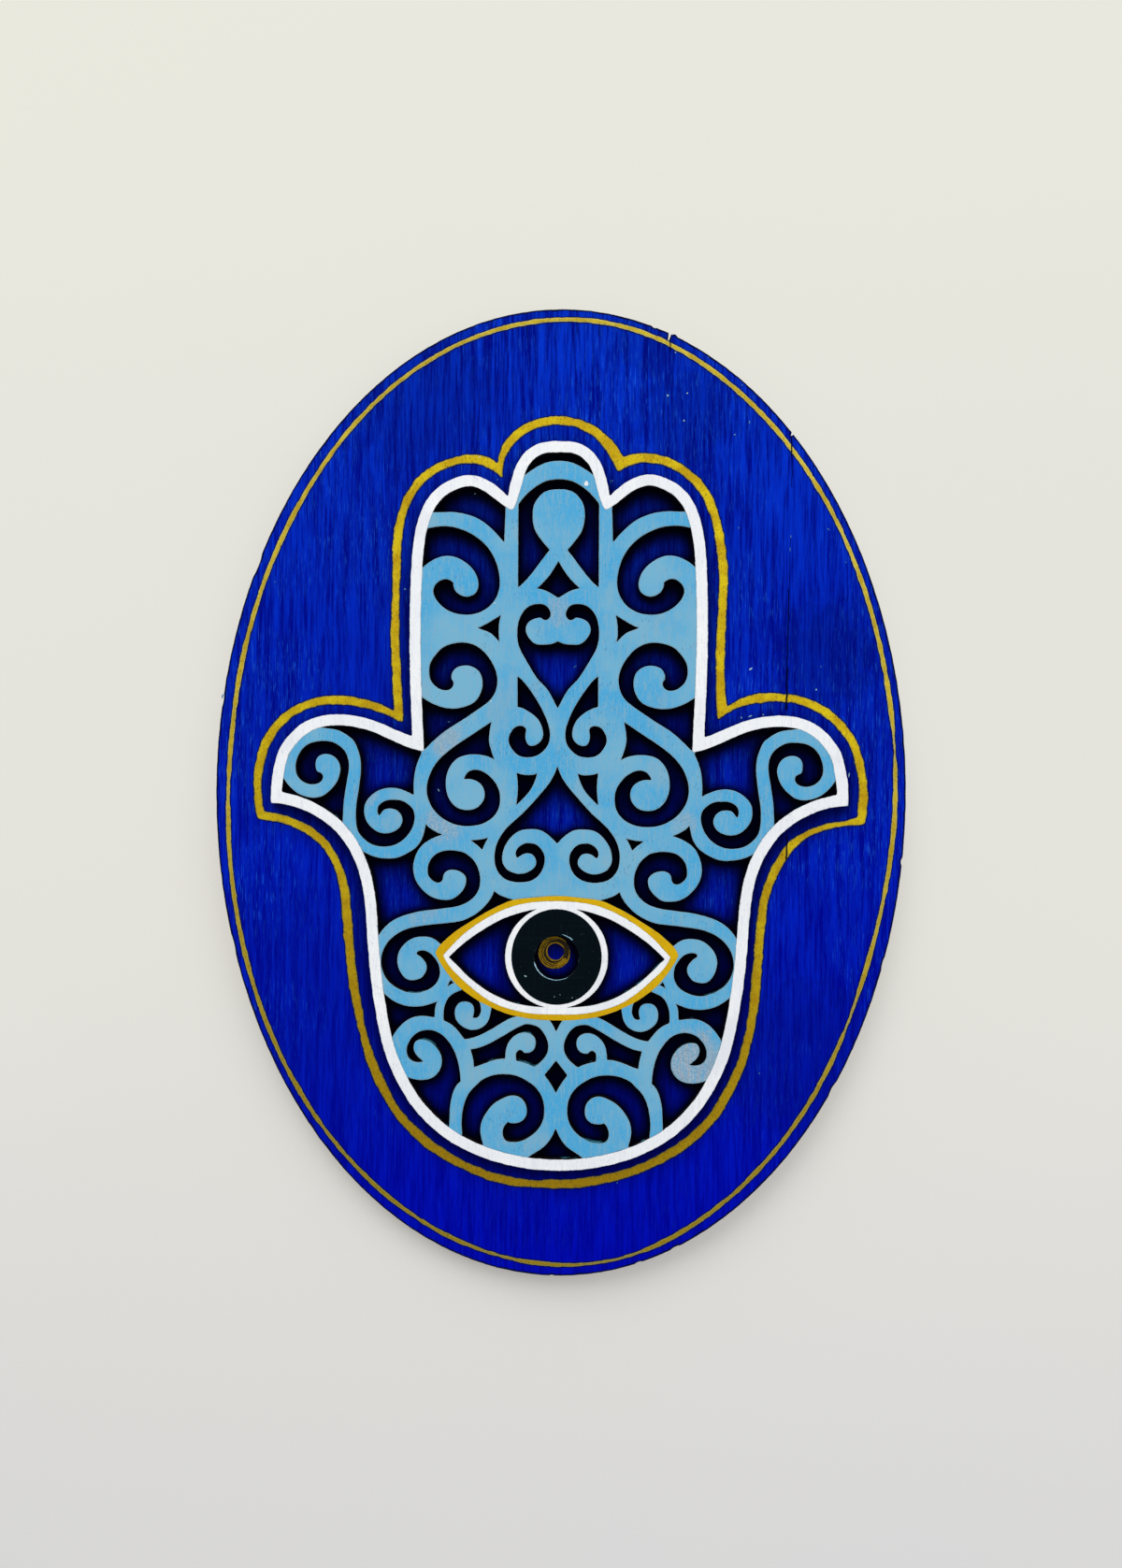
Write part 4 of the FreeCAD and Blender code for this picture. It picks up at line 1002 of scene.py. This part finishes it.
def marks(white, faint_blue, thin_blue):
    """Specks and runs that the brush left, and painted highlights, pale glints on the pupil's edge, each
    where the photograph shows it.
    """
    front = FRET_FACE_Y + SPECK
    for name, specks, y, material, slot in (
        ("bright_specks", BRIGHT_SPECKS, BOARD_FACE_Y, thin_blue, "light_blue_paint"),
        ("faint_specks", FAINT_SPECKS, BOARD_FACE_Y, faint_blue, "light_blue_paint"),
        ("fret_specks", FRET_SPECKS, front, white, "white_paint"),
        ("iris_specks", IRIS_SPECKS, front, thin_blue, "light_blue_paint"),
    ):
        loops = [blot(pixel, y, across * MM, along * MM, lean) for pixel, across, along, lean in specks]
        coat(name, loops, y, y - SPECK, material)
    # Painted highlights: pale glints along the pupil's edge, top right and lower left.
    hole = on_plane(PUPIL_PIXEL, FRET_FACE_Y).xz
    radii = (PUPIL_REACH, PUPIL_REACH)
    glints = [stroke(hole, radii, PUPIL_GLINT_WIDTHS, start, turns) for start, turns in PUPIL_GLINTS]
    coat("pupil_glint_highlights", glints, front, FRET_FACE_Y, thin_blue)


# Studio


def wall():
    """The pale wall that the plaque hangs on, which shows from its front alone.

    It glows a little above and to the right, where the photograph's shadow fades.
    """
    mesh = bpy.data.meshes.new("wall")
    corners = [(x * WALL_HALF, WALL_GAP, z * WALL_HALF) for x, z in ((-1, -1), (1, -1), (1, 1), (-1, 1))]
    mesh.from_pydata(corners, [], [(0, 1, 2, 3)])
    plane = bpy.data.objects.new("wall", mesh)
    bpy.context.scene.collection.objects.link(plane)
    s = Shading("wall")
    # Painted shading: the wall brightest at mid height, darker low down and a little at the top.
    low, middle, high = WALL_WITH_PAINTED_SHADE
    colour = s.mix(s.span(s.z, *WALL_FOOT), low, middle)
    colour = s.over(colour, high, s.z, *WALL_HEAD)
    colour = s.over(colour, WALL_CLOUD, s.noise(6, 2), 0.4, 0.6, 0, 0.3)
    s.bump(s.noise(900, 3), 0.15, 0.2 * MM)
    mesh.materials.append(s.finish(colour, 0.9, level=0.2))
    low, middle, high = WALL_GLOW
    even = s.add("ShaderNodeEmission")
    ramp = s.mix(s.span(s.z, *WALL_FOOT), low, middle)
    s.link(s.over(ramp, high, s.z, *GLOW_HEAD), even.inputs["Color"])
    glow = s.math("MULTIPLY_ADD", s.x, 0.8, s.span(s.z, *SHADOW_FADES, 0, 0.8, smooth=False), clamp=True)
    lit = s.blend(s.math("MINIMUM", glow, MOST_GLOW), s.shader.outputs[0], even.outputs[0])
    shown = s.math("SUBTRACT", s.add("ShaderNodeLightPath").outputs["Is Camera Ray"],
                   s.add("ShaderNodeNewGeometry").outputs["Backfacing"], clamp=True)
    either = s.blend(shown, s.add("ShaderNodeBsdfTransparent").outputs[0], lit)
    s.link(either, s.tree.nodes["Material Output"].inputs["Surface"])


def lamp(name, place, size, power, colour):
    data = bpy.data.lights.new(name, "AREA")
    data.shape = "DISK"
    data.size = size
    data.energy = power
    data.color = colour
    light = bpy.data.objects.new(name, data)
    light.location = place
    light.rotation_euler = (Vector(LAMPS_AIM) - Vector(place)).to_track_quat("-Z", "Y").to_euler()
    bpy.context.scene.collection.objects.link(light)


def sky():
    """White light from all round, which the camera sees as a pale even backdrop."""
    world = bpy.data.worlds.new("studio")
    world.use_nodes = True
    bpy.context.scene.world = world
    sky_nodes, links = world.node_tree.nodes, world.node_tree.links
    background = sky_nodes["Background"]
    background.inputs["Color"].default_value = (1.0, 1.0, 1.0, 1.0)
    background.inputs["Strength"].default_value = SKY_STRENGTH
    seen = sky_nodes.new("ShaderNodeBackground")
    seen.inputs["Color"].default_value = BACKDROP
    either = sky_nodes.new("ShaderNodeMixShader")
    links.new(sky_nodes.new("ShaderNodeLightPath").outputs["Is Camera Ray"], either.inputs[0])
    links.new(background.outputs[0], either.inputs[1])
    links.new(seen.outputs[0], either.inputs[2])
    links.new(either.outputs[0], sky_nodes["World Output"].inputs["Surface"])


def camera():
    data = bpy.data.cameras.new("camera")
    data.sensor_width = SENSOR
    data.lens = SENSOR * FOCAL_PIXELS / PHOTO_HEIGHT
    data.clip_start = 0.01
    view = bpy.data.objects.new("camera", data)
    view.matrix_world = Matrix.Translation(CAMERA_PLACE) @ camera_turn().to_4x4()
    bpy.context.scene.collection.objects.link(view)
    bpy.context.scene.camera = view


finishes()
sky()
for settings in LAMPS:
    lamp(*settings)
wall()
camera()
bpy.context.scene.view_settings.view_transform = "Standard"
